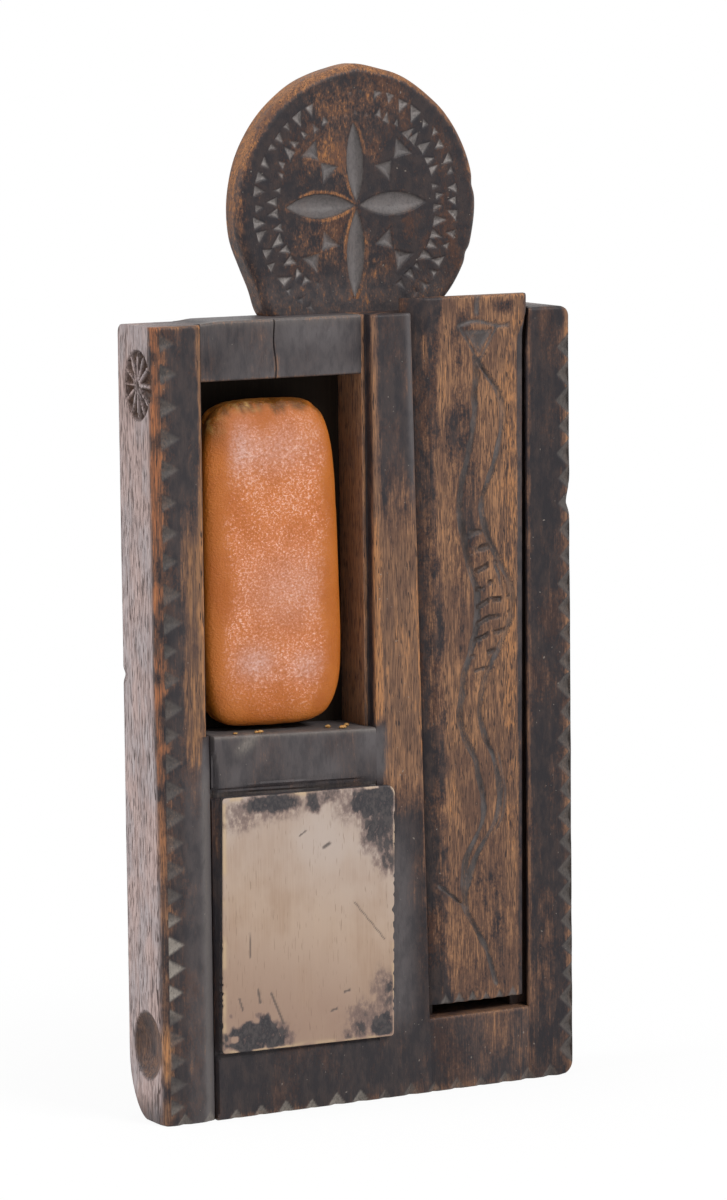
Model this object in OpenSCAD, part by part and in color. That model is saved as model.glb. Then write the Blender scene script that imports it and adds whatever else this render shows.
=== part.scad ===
// Scouring box: a carved plank with a round head, a strip that closes its left side, a bevel-edged
// lid in undercut grooves, a let-in rubbing board and a loose block. Front face towards -Y.

/* [Body] */
// Width across both sides
body_w = 200; // [196:1:210]
// Height to the shoulder, without the head
body_h = 336; // [330:1:345]
// Depth of the plank, front to back
body_d = 32; // [32:1:38]
// Radius of the worn lower right corner
corner_r = 6; // [2:1:8]

/* [Head] */
// Radius of the round head
head_r = 60.5; // [50:0.5:62]
// How far each side of the head falls short of a full circle
head_slim = 2.8; // [0:0.1:4]
// Thickness of the head, flush with the back
head_t = 12.5; // [11:0.5:16]
// Round-over of the head's front edge
head_round = 4; // [2:0.5:5]
// Centre of the head, from the left edge
head_from_left = 109; // [100:1:112]
// Centre of the head, above the shoulder
head_rise = 44.3; // [40:0.1:46]
// Length of the flower's petals
petal_length = 33.5; // [28:0.5:36]
// Width of a petal
petal_w = 10.4; // [8:0.2:12]

/* [Left side] */
// Width of the strip that closes the left side
side_w = 26; // [24:0.5:28]
// How much lower the strip's top end sits
side_drop = 0.8; // [0:0.1:2]
// Wear radius of its front edge
side_edge_r = 3.5; // [2:0.5:4]
// Wear radius of its lower back corner
side_heel_r = 16; // [8:1:18]
// Wear radius of its upper back corner
side_top_r = 7; // [3:1:10]

/* [Brick compartment] */
// Width of the compartment
brick_w = 75.5; // [74:0.5:77]
// Height of its sill at the left end
brick_sill = 163.6; // [162:0.1:166]
// How far the sill drops towards its right end
sill_drop = 2.6; // [0:0.1:3]
// Height of its upper edge
brick_top = 311; // [308:1:314]
// Depth of the rebate in front of it
rebate_d = 6; // [5:0.5:7]
// Width of the rebate's ledge on the centre stile
ledge_w = 2; // [1:0.5:3]
// Width of the rebate in the left side
side_rebate_w = 3; // [2:0.5:4]

/* [Lid and grooves] */
// Width of the centre stile at the top
stile_w = 19; // [18:0.5:20]
// Width of the right stile at the top
right_stile_w = 20; // [19:0.5:21]
// How much the centre stile widens towards the sill
stile_growth = 5.9; // [3:0.1:7]
// How much the right stile widens towards the sill
right_growth = 2.4; // [1:0.1:3]
// Height of the sill under the lid
lid_sill = 32.4; // [30:0.2:36]
// Thickness of the lid
lid_t = 6.3; // [5.5:0.1:6.4]
// How far the lid stands open
lid_open = 5; // [1:0.5:10]

/* [Rubbing board] */
// Width of the board
board_w = 82.3; // [78:0.1:84]
// Height of the board
board_h = 108.8; // [100:0.1:110]
// Thickness of the board
board_t = 5; // [4:0.5:6]
// How far it stands proud of the plank
board_proud = 2.5; // [1:0.5:3]
// How far it is turned out of level, in degrees
board_turn = 0.9; // [0:0.1:1.2]

/* [Scouring block] */
// Width of the block
block_w = 66; // [60:0.5:67]
// How much narrower it is at the top
block_taper = 3; // [0:0.5:5]
// Height of the block
block_h = 138.5; // [120:0.5:140]
// Thickness of the block
block_t = 22; // [18:0.5:23]

/* [Back and fixings] */
// Thickness of the back board
back_t = 5; // [4:0.5:6]
// Diameter of the pegs in the back
peg_d = 4; // [3:0.5:5]
// Diameter of the dowels in the side joint
dowel_d = 8; // [6:0.5:9]

/* [Hidden] */
$fn = 64;
reach = 60;

// Frame: the body's edges, with the rubbing board counted in the depth
left = -body_w / 2;
right = body_w / 2;
front = board_proud - (body_d + board_proud) / 2;
back = front + body_d;

// Places across the front
side_in = left + side_w;
brick_right = side_in + brick_w;
rebate_right = brick_right + ledge_w;
mouth_left = rebate_right + stile_w;
mouth_right = right - right_stile_w;
head_x = left + head_from_left;
head_z = body_h + head_rise;

// The lid's grooves: lip, undercut and bed, as depths behind the front
bed_d = 7;
lip_d = 4;
undercut = 4.6;
undercut_d = 6.55;
right_lip_d = 2;
right_undercut = 4;
groove_run = body_h - lid_sill;
lean_left = -atan(stile_growth / groove_run);
lean_right = atan(right_growth / groove_run);

// The lid's own edges, measured from the lips
lid_face_d = 0.3;
lid_back_d = lid_face_d + lid_t;
lid_gap = 0.2;
bevel_in = 7.8;
bevel_slope = (undercut_d - lip_d) / undercut;
lid_tip = (lid_back_d - lid_face_d) / bevel_slope - bevel_in;
right_arris_in = 3.9;
right_tip = 0.8;
ear_in = 0.9;
ear_h = 8;
ear_taper = 9;
lid_proud = 1;

// The powder compartment behind the lid, inside the beds that the lid lies on
bed_left_w = 11;
bed_right_w = 8;
powder_left = mouth_left + bed_left_w;
powder_right = mouth_right - bed_right_w;
powder_top = 310;

// The back board and its rebate
back_lap = 8;
back_right_lap = 6;
back_right = mouth_right + back_right_lap;
back_bottom = 14;
back_top = 322;
back_gap = 0.2;
peg_fit = 0.05;
peg_length = 14;
peg_sunk = 0.2;
peg_inset = 5;
middle_pegs_z = 143.6;

// The dowels of the side joint
dowel_fit = 0.05;
dowel_length = 34;
dowel_depth = 17;
dowel_heights = [60, 115, 326];

// The rubbing board
board_x = left + 69.2;
board_z = 82.4;
board_corner = 4;
board_worn_corner = 7;
board_gap = 0.15;

// The block in its compartment
block_gap = 0.6;
block_front_d = 3.4;
block_corner = 13;
block_edge = 6;

// Carving on the head: a flower whose lower petal is longer, and a pair of wedges on each diagonal
flower_x = head_x - 1.1;
flower_z = head_z + 0.9;
petal_gap = 0.6;
petal_sunk = 2.6;
lower_petal = 1.14;
wedge_out = 25.8;
wedge_turn = 47;
wedge_reach = 7.4;
wedge_w = 5;
wedge_sunk = 1.8;

// Carving on the left side
side_mark_r = 13.5;
side_mark_d = 13.6;
rosette_z = 310.4;
rosette_sunk = 3.2;
rosette_rays = 12;
ray_w = 1.1;
ray_sunk = 0.8;
hub_r = 2;
dish_z = 32.2;
dish_sunk = 4.5;
chip_w = 8.4;
chip_reach = 12.5;
chip_sunk = 2.2;
chip_pitch = 11.6;
chip_count = 27;
chip_first = 13;

// Turns a drawing of the front, X across and Y up, into a slab between two depths
module slab(from_d, to_d) {
    translate([0, front + to_d, 0])
        rotate([90, 0, 0])
            linear_extrude(to_d - from_d)
                children();
}

// A plain rectangle on the front, given by its edges
module panel(x0, x1, z0, z1) {
    translate([x0, z0])
        square([x1 - x0, z1 - z0]);
}

// A rectangle with one radius for three corners and another for the upper right one
module soft_panel(w, h, r, r_worn) {
    difference() {
        translate([-w / 2, -h / 2])
            square([w, h]);
        for (c = [[-1, -1, r], [1, -1, r], [-1, 1, r], [1, 1, r_worn]])
            translate([c[0] * w / 2, c[1] * h / 2])
                corner_waste(c[0], c[1], c[2]);
    }
}

// What a round corner takes off: a square less its quarter circle, at the origin
module corner_waste(sx, sy, r) {
    difference() {
        translate([sx > 0 ? -r : -1, sy > 0 ? -r : -1])
            square(r + 1);
        translate([-sx * r, -sy * r])
            circle(r);
    }
}

// An upright prism of a plan drawing, X across and Y as depth, leaning about its top end
module leaning(x_top, angle) {
    translate([x_top, front, body_h])
        rotate([0, angle, 0])
            translate([0, 0, -body_h - reach])
                linear_extrude(body_h + 2 * reach)
                    children();
}

// The space that the lid runs in, open at the top: a wide trough less the two leaning lips
module lid_channel() {
    far = stile_w + undercut;
    difference() {
        slab(-1, bed_d)
            panel(mouth_left - undercut, mouth_right + undercut, lid_sill, body_h + 1);
        leaning(mouth_left, lean_left)
            polygon([[0, -2], [0, lip_d], [-undercut, undercut_d], [-undercut, bed_d + 1],
                     [-far, bed_d + 1], [-far, -2]]);
        leaning(mouth_right, lean_right)
            polygon([[0, -2], [0, right_lip_d], [right_undercut, undercut_d],
                     [right_undercut, bed_d + 1], [far, bed_d + 1], [far, -2]]);
    }
}

// The drawing of the brick compartment, whose sill isn't level
module brick_notch(to_x, top) {
    polygon([[side_in - side_w, brick_sill], [side_in, brick_sill], [to_x, brick_sill - sill_drop],
             [to_x, top], [side_in - side_w, top]]);
}

// The recess behind the compartments that takes the back board
module back_rebate(gap) {
    slab(body_d - back_t, body_d + 1 - gap)
        panel(side_in - back_lap + gap, back_right - gap, back_bottom + gap, back_top - gap);
}

// The pegs' places, along the upright edges and the two rails
module at_pegs() {
    rows = [back_bottom + peg_inset, middle_pegs_z, back_top - peg_inset];
    columns = [side_in + peg_inset, (rebate_right + mouth_left) / 2, back_right - peg_inset];
    for (x = columns, z = rows)
        translate([x, back, z])
            rotate([90, 0, 0])
                children();
}

module at_dowels() {
    for (z = dowel_heights)
        translate([side_in - dowel_length / 2, front + dowel_depth, z])
            rotate([0, 90, 0])
                children();
}

// Holes a hair wider than the pegs and dowels, with room at their ends
module peg_holes() {
    at_pegs()
        translate([0, 0, -1])
            cylinder(d = peg_d + 2 * peg_fit, h = peg_length + 2);
}

module dowel_holes() {
    at_dowels()
        translate([0, 0, -1])
            cylinder(d = dowel_d + 2 * dowel_fit, h = dowel_length + 2);
}

module at_board() {
    translate([board_x, 0, board_z])
        rotate([0, board_turn, 0])
            children();
}

// A row of triangular notches up an edge: V grooves that run out at their points, to the right
module chip_row(count, pitch) {
    for (i = [0 : count - 1])
        translate([0, 0, i * pitch])
            rotate([0, 0, -atan(chip_sunk / chip_reach)])
                translate([-2 * chip_reach, 0, 0])
                    rotate([90, 0, 90])
                        linear_extrude(3 * chip_reach)
                            polygon([[0, 0], [-2 * chip_sunk, chip_w], [-2 * chip_sunk, -chip_w]]);
}

// The head is a little taller than wide: what two discs beside each other have in common
module head() {
    intersection() {
        disc(head_x - head_slim);
        disc(head_x + head_slim);
    }
}

module disc(x) {
    inner = head_r - head_round;
    translate([x, back, head_z])
        rotate([90, 0, 0])
            rotate_extrude() {
                square([inner, head_t]);
                square([head_r, head_t - head_round]);
                translate([inner, head_t - head_round])
                    circle(head_round);
            }
}

// A flower of four scooped petals, and two wedges tip to tip on each diagonal between them
module flower() {
    translate([flower_x, back - head_t, flower_z])
        for (i = [0 : 3])
            rotate([0, -90 * i, 0]) {
                petal(i == 3 ? lower_petal * petal_length : petal_length);
                rotate([0, i % 2 == 0 ? -wedge_turn : wedge_turn - 90, 0])
                    translate([wedge_out, 0, 0])
                        for (turn = [0, 180])
                            rotate([0, turn, 0])
                                wedge();
            }
}

// A petal along X: a slim barrel whose axis lies in front of the face
module petal(length) {
    rise = (petal_w * petal_w / 4 - petal_sunk * petal_sunk) / (2 * petal_sunk);
    belly = (length * length / 4 + petal_sunk * petal_sunk) / (2 * petal_sunk);
    run = 1.1 * length;
    translate([petal_gap + length / 2, -rise, 0])
        rotate([0, 90, 0])
            rotate_extrude()
                intersection() {
                    translate([rise + petal_sunk - belly, 0])
                        circle(belly, $fn = 256);
                    translate([0, -run / 2])
                        square([rise + petal_sunk + 1, run]);
                }
}

// A three-sided cut: a V groove that sinks from its point at the origin to its base, at the left
module wedge() {
    rotate([0, 0, -atan(wedge_sunk / wedge_reach)])
        translate([-wedge_reach, 0, 0])
            rotate([90, 0, 90])
                linear_extrude(wedge_reach + 1)
                    polygon([[0, 0], [-2 * wedge_sunk, 2 * wedge_w], [-2 * wedge_sunk, -2 * wedge_w]]);
}

module body_plank() {
    color("#3a2a22")
    difference() {
        union() {
            slab(0, body_d)
                difference() {
                    panel(side_in, right, 0, body_h);
                    translate([right, 0])
                        corner_waste(1, -1, corner_r);
                    translate([right, body_h])
                        corner_waste(1, 1, corner_r / 2);
                }
            head();
        }
        // The open compartment, and the rebate that lets the rail and a ledge stand back
        slab(-1, body_d + 1)
            brick_notch(brick_right, brick_top);
        slab(-1, rebate_d)
            brick_notch(rebate_right, body_h + 1);
        // The powder compartment and the grooves in front of it
        slab(0, body_d + 1)
            panel(powder_left, powder_right, lid_sill, powder_top);
        lid_channel();
        back_rebate(0);
        at_board()
            slab(-1, board_t - board_proud)
                soft_panel(board_w + 2 * board_gap, board_h + 2 * board_gap,
                           board_corner, board_worn_corner);
        peg_holes();
        dowel_holes();
        flower();
    }
}

// The strip's end grain outline: upright, with its worn corners at the back
module side_outline() {
    difference() {
        square([body_d, body_h - side_drop]);
        translate([body_d, 0])
            corner_waste(1, -1, side_heel_r);
        translate([body_d, body_h - side_drop])
            corner_waste(1, 1, side_top_r);
    }
}

module left_side() {
    color("#5a4438")
    difference() {
        intersection() {
            translate([left, front, 0])
                rotate([90, 0, 90])
                    linear_extrude(side_w)
                        side_outline();
            translate([left, front, 0])
                linear_extrude(body_h)
                    difference() {
                        square([side_w, body_d]);
                        corner_waste(-1, -1, side_edge_r);
                    }
        }
        slab(-1, rebate_d)
            panel(side_in - side_rebate_w, side_in + 1, brick_sill, body_h + 1);
        back_rebate(0);
        dowel_holes();
        translate([left, front + side_mark_d, rosette_z])
            rotate([0, 90, 0])
                rosette();
        translate([left - dish_rise(), front + side_mark_d, dish_z])
            sphere(r = dish_r());
        translate([left + chip_reach, front, chip_first])
            chip_row(chip_count, chip_pitch);
    }
}

// The dish is a slice of a ball: its radius, and how far its centre lies outside the face
function dish_r() = (side_mark_r * side_mark_r + dish_sunk * dish_sunk) / (2 * dish_sunk);
function dish_rise() = dish_r() - dish_sunk;

// A sunk wheel: a round recess less the rays and the hub that are left standing in it
module rosette() {
    difference() {
        translate([0, 0, -1])
            cylinder(r = side_mark_r, h = rosette_sunk + 1);
        translate([0, 0, ray_sunk]) {
            cylinder(r = hub_r, h = rosette_sunk);
            for (i = [0 : rosette_rays / 2 - 1])
                rotate(i * 360 / rosette_rays)
                    translate([-side_mark_r - 1, -ray_w / 2, 0])
                        cube([2 * side_mark_r + 2, ray_w, rosette_sunk]);
        }
    }
}

module back_board() {
    color("#6b4a32")
    difference() {
        intersection() {
            back_rebate(back_gap);
            slab(0, body_d - back_gap)
                panel(left, right, 0, body_h);
        }
        peg_holes();
    }
}

// The lid pushed home: a board with a leaning bevel cut off each side, and an ear at the upper
// right where the bevel stops short
module closed_lid() {
    top = body_h + lid_proud;
    difference() {
        slab(lid_face_d, lid_back_d)
            panel(mouth_left - lid_tip, mouth_right + right_tip, lid_sill + lid_gap, top);
        leaning(mouth_left, lean_left)
            bevel_waste(-1, bevel_in, -lid_tip);
        difference() {
            leaning(mouth_right, lean_right)
                bevel_waste(1, -right_arris_in, right_tip);
            slab(-2, bed_d + 2)
                lid_ear(top + 1, mouth_right - ear_in, mouth_right - right_arris_in);
        }
    }
}

// What a bevel takes off, from its place on the face to its place on the back, and all beyond
module bevel_waste(side, face_x, back_x) {
    run = (back_x - face_x) / lid_t;
    far = side * stile_w;
    polygon([[face_x - run, lid_face_d - 1], [back_x + run, lid_back_d + 1],
             [back_x + far, lid_back_d + 1], [back_x + far, lid_face_d - 1]]);
}

// The drawing of the ear, from the middle of the lid to its upright edge and the taper under it
module lid_ear(top, ear_x, arris_x) {
    middle_x = (mouth_left + mouth_right) / 2;
    corner = body_h + lid_proud - ear_h;
    polygon([[middle_x, top], [ear_x, top], [ear_x, corner], [arris_x, corner - ear_taper],
             [middle_x, corner - ear_taper]]);
}

module sliding_lid() {
    color("#7a4a2a")
    translate([0, 0, lid_open])
        closed_lid();
}

module rubbing_board() {
    color("#c3a88d")
    at_board()
        slab(-board_proud, board_t - board_proud)
            soft_panel(board_w, board_h, board_corner, board_worn_corner);
}

module scouring_block() {
    color("#c8662e")
    translate([side_in + block_gap, front + block_front_d + block_t, brick_sill + block_gap])
        rotate([90, 0, 0])
            hull()
                for (corner = block_corners())
                    translate([corner[0], corner[1], 0])
                        pebble(block_corner, block_edge, block_t, $fn = 32);
}

// The centres of the block's round corners; the upper right one is drawn in
function block_corners() = [
    for (x = [0, 1], y = [0, 1])
        [block_corner + x * (block_w - 2 * block_corner - y * block_taper),
         block_corner + y * (block_h - 2 * block_corner)]
];

// A flat round with both rims rounded over
module pebble(r, edge, t) {
    rotate_extrude() {
        square([r - edge, t]);
        translate([0, edge])
            square([r, t - 2 * edge]);
        for (y = [edge, t - edge])
            translate([r - edge, y])
                circle(edge);
    }
}

module side_dowels() {
    color("#b08a5a")
    at_dowels()
        cylinder(d = dowel_d, h = dowel_length);
}

module back_pegs() {
    color("#8a6a44")
    at_pegs()
        translate([0, 0, peg_sunk])
            cylinder(d = peg_d, h = peg_length - peg_sunk);
}

body_plank();
left_side();
back_board();
sliding_lid();
rubbing_board();
scouring_block();
side_dowels();
back_pegs();
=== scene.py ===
"""Antique scouring box: a carved plank with a round head, a strip that closes its left side, a sliding
lid, a rubbing board and a loose block.

Shapes are worked out in millimetres as (x, depth, z): x across the front, depth behind the front face
and z up along the grain. Each point also carries marks that the finishes read, from 0 where they don't
apply to 1 or a little more where they do.

On stained wood, worn is stain rubbed away, ruddy is redder wood under it, dust lies in the cuts, dull is
a grey bloom and, on some rounded edges, a painted sheen and highlight, bare is wood that lost its stain and
inner is painted shade in recesses, deep cuts, channels and under the rails. On the rubbing board, stain is
what is left of a dark stain, scratch and rim are the scratches and the yellower edge, and tan grows from the
upper right to the lower left. On the block, bloom is the powder on its face, with pale dots and painted
glints, pale its whitest spots, crust the crumbly top, flake a tan crumb and side all but the face.
"""
import functools
import math

import bmesh
import bpy
import numpy as np
from mathutils import Matrix, Vector


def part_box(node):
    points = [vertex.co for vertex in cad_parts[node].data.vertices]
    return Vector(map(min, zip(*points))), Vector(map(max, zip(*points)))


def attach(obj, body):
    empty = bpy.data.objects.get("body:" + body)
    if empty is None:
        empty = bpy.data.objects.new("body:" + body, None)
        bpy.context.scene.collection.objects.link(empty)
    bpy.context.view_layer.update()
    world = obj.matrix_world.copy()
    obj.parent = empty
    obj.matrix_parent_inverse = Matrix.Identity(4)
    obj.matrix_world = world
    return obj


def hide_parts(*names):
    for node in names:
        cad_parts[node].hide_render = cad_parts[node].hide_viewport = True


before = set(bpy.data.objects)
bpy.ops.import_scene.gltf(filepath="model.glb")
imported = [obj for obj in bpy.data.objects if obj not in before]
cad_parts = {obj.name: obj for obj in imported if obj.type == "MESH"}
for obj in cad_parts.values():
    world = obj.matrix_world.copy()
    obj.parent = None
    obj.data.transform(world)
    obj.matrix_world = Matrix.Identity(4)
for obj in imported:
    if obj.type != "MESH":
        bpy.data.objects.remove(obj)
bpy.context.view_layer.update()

MM = 0.001


def box_mm(node):
    """The lowest and highest corners of a node, in millimetres."""
    return [np.array(corner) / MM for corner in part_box(node)]


# Edges of the box, from the frame
plank_low, plank_high = box_mm("body_plank")
strip_low, strip_high = box_mm("left_side")
lid_low, lid_high = box_mm("sliding_lid")
block_low, block_high = box_mm("scouring_block")
back_low, back_high = box_mm("back_board")
FRONT = plank_low[1]
LEFT, SIDE_IN, RIGHT = strip_low[0], strip_high[0], plank_high[0]
DEPTH = plank_high[1] - FRONT
BACK_D = back_low[1] - FRONT
STRIP_TOP = strip_high[2]
SHOULDER = STRIP_TOP + 0.8

# Members of the plank. Brick is the open compartment, powder is the one under the lid, and D is a depth.
BRICK_RIGHT, LEDGE_RIGHT = 1.5, 3.5
SILL_LEFT, SILL_RIGHT = 163.6, 161.0
BRICK_TOP = 311.0
REBATE_D, BED_D = 6.0, 7.0
LID_SILL = 32.4
LIP_LEFT, LIP_RIGHT = 22.5, 80.0
LEAN_LEFT, LEAN_RIGHT = 5.9, -2.4
LIP_D_LEFT, LIP_D_RIGHT, GROOVE_D = 4.0, 2.0, 6.55
UNDER_LEFT, UNDER_RIGHT = 4.6, 4.0
POWDER_LEFT, POWDER_RIGHT = 33.5, 72.0
BACK_RIGHT = 86.0
BACK_BOTTOM, BACK_TOP = 14.0, 322.0
HEAD_X, HEAD_Z, HEAD_R, HEAD_D, HEAD_ROUND = 9.0, 380.3, 60.5, 19.5, 4.0
HEAD_SLIM = 2.8

# Side strip, and the two sunk marks on its side by depth and height
LEDGE_LEFT, STRIP_SOFT, STRIP_BACK = -77.0, -79.4, -82.0
ROSETTE_D, ROSETTE_Z, ROSETTE_WIDE, ROSETTE_TALL = 13.4, 310.6, 12.0, 14.6
DISH_D, DISH_Z, DISH_WIDE, DISH_TALL = 14.2, 32.6, 13.0, 15.2

# Rubbing board, lid and back board
BOARD_X, BOARD_Z, BOARD_W, BOARD_H = -30.8, 82.4, 82.3, 108.8
BOARD_HALF_W, BOARD_HALF_H = BOARD_W / 2 - 0.1, BOARD_H / 2 - 0.1
BOARD_PROUD, BOARD_SUNK, BOARD_TURN = 2.5, 2.5, math.radians(0.9)
LID_OPEN = lid_low[2] - LID_SILL - 0.2
LID_FACE_D, LID_BACK_D = lid_low[1] - FRONT, lid_high[1] - FRONT
EAR_LOW, EAR_HIGH = 320.0, 329.0
BACK_THICK = 4.62

# Points of an arc, the usual step of a grid, and the size of a corner or a step that stays sharp
ARC = 7
EVEN = 0.65
SHARP = 0.02


# Number helpers

def noise(u, v, seed):
    """Smooth noise from -1 to 1: seeded random values on a unit lattice, blended by a cubic ramp."""
    wide, tall = 97, 89
    table = np.random.default_rng(seed).uniform(-1, 1, (wide, tall))
    u, v = np.broadcast_arrays(np.asarray(u, float), np.asarray(v, float))
    i, j = np.floor(u).astype(int), np.floor(v).astype(int)
    s, t = (f * f * (3 - 2 * f) for f in (u - i, v - j))
    left, right, low, high = i % wide, (i + 1) % wide, j % tall, (j + 1) % tall
    below = table[left, low] * (1 - s) + table[right, low] * s
    above = table[left, high] * (1 - s) + table[right, high] * s
    return below * (1 - t) + above * t


def ease(value, low, high):
    """0 at low and 1 at high, with a cubic ramp between them; low may be the larger one."""
    t = np.clip((value - low) / (high - low), 0, 1)
    return t * t * (3 - 2 * t)


def span(value, start, full, last, end):
    """1 from full to last, easing to 0 at start and at end."""
    return ease(value, start, full) * ease(value, end, last)


def near(across, along, width):
    """1 where both distances are 0, falling off like a bell curve over `width`."""
    return np.exp(-(across ** 2 + along ** 2) / width ** 2)


def spots(x, z, places):
    """Soft oval spots, added up. A place is (strength, x, z, width, height), and its spot falls off like a
    bell curve over that width and height."""
    return sum(s * near((x - cx) / wide, (z - cz) / tall, 1) for s, cx, cz, wide, tall in places)


def end_round(run, radius):
    """How far a round of that radius draws a face in, at a distance `run` from the end."""
    inside = np.clip(radius - run, 0, radius)
    return radius - np.sqrt(radius ** 2 - inside ** 2)


def pressed_round(u, v):
    """Places in a square of half width 1, pressed into the circle inside it."""
    return u * np.sqrt(1 - v * v / 2), v * np.sqrt(1 - u * u / 2)


def rounded(u, v, power):
    """A distance from the middle by which a rounded square of that power lies at 1 all round."""
    return (np.abs(u) ** power + np.abs(v) ** power) ** (1 / power)


def lip_left(z):
    """The left edge of the lid's opening, a straight line that leans to the left up the plank."""
    return LIP_LEFT + (SHOULDER - z) * LEAN_LEFT / (SHOULDER - LID_SILL)


def lip_right(z):
    """The right edge of the lid's opening, which leans to the right."""
    return LIP_RIGHT + (SHOULDER - z) * LEAN_RIGHT / (SHOULDER - LID_SILL)


def sill_z(x):
    """The sill of the open compartment, which drops to the right."""
    t = np.clip((x - SIDE_IN) / (BRICK_RIGHT - SIDE_IN), 0, 1.03)
    return SILL_LEFT + t * (SILL_RIGHT - SILL_LEFT)


def rows(low, high, step, *extra):
    """Even steps from low to high, with extra places between them."""
    even = np.linspace(low, high, int(np.ceil((high - low) / step)) + 1)
    return np.unique(np.concatenate([even, *[np.atleast_1d(e) for e in extra]]).round(4))


# Sections and shells

def outline(corners, counts):
    """A closed section through corners (x, depth, radius). Each corner becomes a circular arc that touches
    both of its edges, written as a rational quadratic curve, and the straight run after it gets `counts`
    equal steps."""
    corners = np.array(corners, float)
    at, radius = corners[:, :2], corners[:, 2:]
    back = np.roll(at, 1, 0) - at
    ahead = np.roll(at, -1, 0) - at
    back /= np.linalg.norm(back, axis=1, keepdims=True)
    ahead /= np.linalg.norm(ahead, axis=1, keepdims=True)
    half = np.arccos(np.clip((back * ahead).sum(1, keepdims=True), -1, 1)) / 2
    start, end = at + back * radius / np.tan(half), at + ahead * radius / np.tan(half)
    t = np.linspace(0, 1, ARC)[None, :, None]
    first, middle, last = (1 - t) ** 2, 2 * t * (1 - t) * np.sin(half)[:, None], t ** 2
    arcs = first * start[:, None] + middle * at[:, None] + last * end[:, None]
    arcs /= first + middle + last
    following = np.roll(start, -1, 0)
    steps = [np.linspace(0, 1, n + 1)[1:-1, None] for n in counts]
    runs = [a + step * (b - a) for a, b, step in zip(end, following, steps)]
    return np.vstack([part for pair in zip(arcs, runs) for part in pair])


def loft(levels, counts, heights):
    """Sections carried up the grain: levels lists (z, corners), and a row between two levels is their
    blend. Returns x, depth and z as arrays of rows by points."""
    marks = np.array([z for z, _ in levels])
    sections = np.stack([outline(corners, counts) for _, corners in levels])
    above = np.clip(np.searchsorted(marks, heights, "right"), 1, len(marks) - 1)
    t = ((heights - marks[above - 1]) / (marks[above] - marks[above - 1]))[:, None, None]
    made = sections[above - 1] * (1 - t) + sections[above] * t
    return made[..., 0], made[..., 1], np.broadcast_to(heights[:, None], made.shape[:2]).copy()


def carried_across(section, places):
    """A section of (z, depth) carried along x. Returns x, depth and z as arrays of places by points."""
    return [np.array(a) for a in np.broadcast_arrays(places[:, None], section[:, 1], section[:, 0])]


def border_of(index):
    """The points' numbers round the edge of a grid, as one closed loop."""
    return np.concatenate([index[0, :-1], index[:-1, -1], index[-1, :0:-1], index[:0:-1, 0]])


class Shell:
    """Grids of points, joined into the closed mesh of one piece."""

    def __init__(self):
        self.points, self.faces, self.marks = [], [], []
        self.total = 0

    def add(self, shape, place, marks):
        """Adds points x, depth and z in an array of that shape, with their marks. Returns their numbers."""
        index = self.total + np.arange(math.prod(shape)).reshape(shape)
        self.points.append(np.stack([np.broadcast_to(a, shape).ravel() for a in place], 1))
        self.marks.append({k: np.broadcast_to(m, shape).ravel() for k, m in marks.items()})
        self.total += index.size
        return index

    def bridge(self, one, two):
        """Adds the quads between two closed loops of points."""
        self.faces += np.stack([one, np.roll(one, -1), np.roll(two, -1), two], 1).tolist()

    def grid(self, x, d, z, wrap=False, **marks):
        """Adds rows by columns of points and the quads between them; wrap joins the last column to the
        first. Returns the points' numbers."""
        index = self.add(np.broadcast_shapes(np.shape(x), np.shape(d), np.shape(z)), (x, d, z), marks)
        ring = np.concatenate([index, index[:, :1]], 1) if wrap else index
        quads = np.stack([ring[:-1, :-1], ring[:-1, 1:], ring[1:, 1:], ring[1:, :-1]], -1)
        self.faces += quads.reshape(-1, 4).tolist()
        return index

    def tube(self, x, d, z, **marks):
        """A run of closed sections with a flat end on each side."""
        index = self.grid(x, d, z, wrap=True, **marks)
        self.faces += [index[0].tolist(), index[-1].tolist()]

    def slab(self, x, d, z, rings, **marks):
        """A face given as a grid, and rings that carry its border round to the back, which is closed flat.
        Each ring is a function from the border's points to new ones and the marks that change there."""
        index = self.grid(x, d, z, **marks)
        loop = border_of(index)
        local = loop - index[0, 0]
        edge = [a[local] for a in self.points[-1].T]
        edge_marks = {k: m[local] for k, m in self.marks[-1].items()}
        for ring in rings:
            moved, changed = ring(*edge)
            behind = self.add(loop.shape, moved, {**edge_marks, **changed})
            self.bridge(loop, behind)
            loop = behind
        self.faces.append(loop.tolist())

    def piece(self, name, body, finish, nodes=(), crease=35):
        """Makes the object: metres, faces outwards, smooth but for creases, marks as point attributes."""
        points = np.concatenate(self.points) + (0, FRONT, 0)
        mesh = bpy.data.meshes.new(name)
        mesh.from_pydata((points * MM).tolist(), [], self.faces)
        for key in sorted({k for marks in self.marks for k in marks}):
            parts = [m.get(key, np.zeros(len(p))) for m, p in zip(self.marks, self.points)]
            values = mesh.attributes.new(key, "FLOAT", "POINT")
            values.data.foreach_set("value", np.clip(np.concatenate(parts), 0, 2).astype(np.float32))
        made = bmesh.new()
        made.from_mesh(mesh)
        bmesh.ops.recalc_face_normals(made, faces=made.faces)
        made.to_mesh(mesh)
        made.free()
        mesh.shade_smooth()
        mesh.set_sharp_from_angle(angle=math.radians(crease))
        mesh.materials.append(finish)
        thing = bpy.data.objects.new(name, mesh)
        bpy.context.scene.collection.objects.link(thing)
        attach(thing, body)
        if nodes:
            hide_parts(*nodes)
        return thing


def dropped(depth, **changed):
    """A ring straight behind a border, at that depth and with those marks."""
    return lambda x, d, z: ((x, depth, z), changed)


# Carving, as depths of cut

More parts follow.
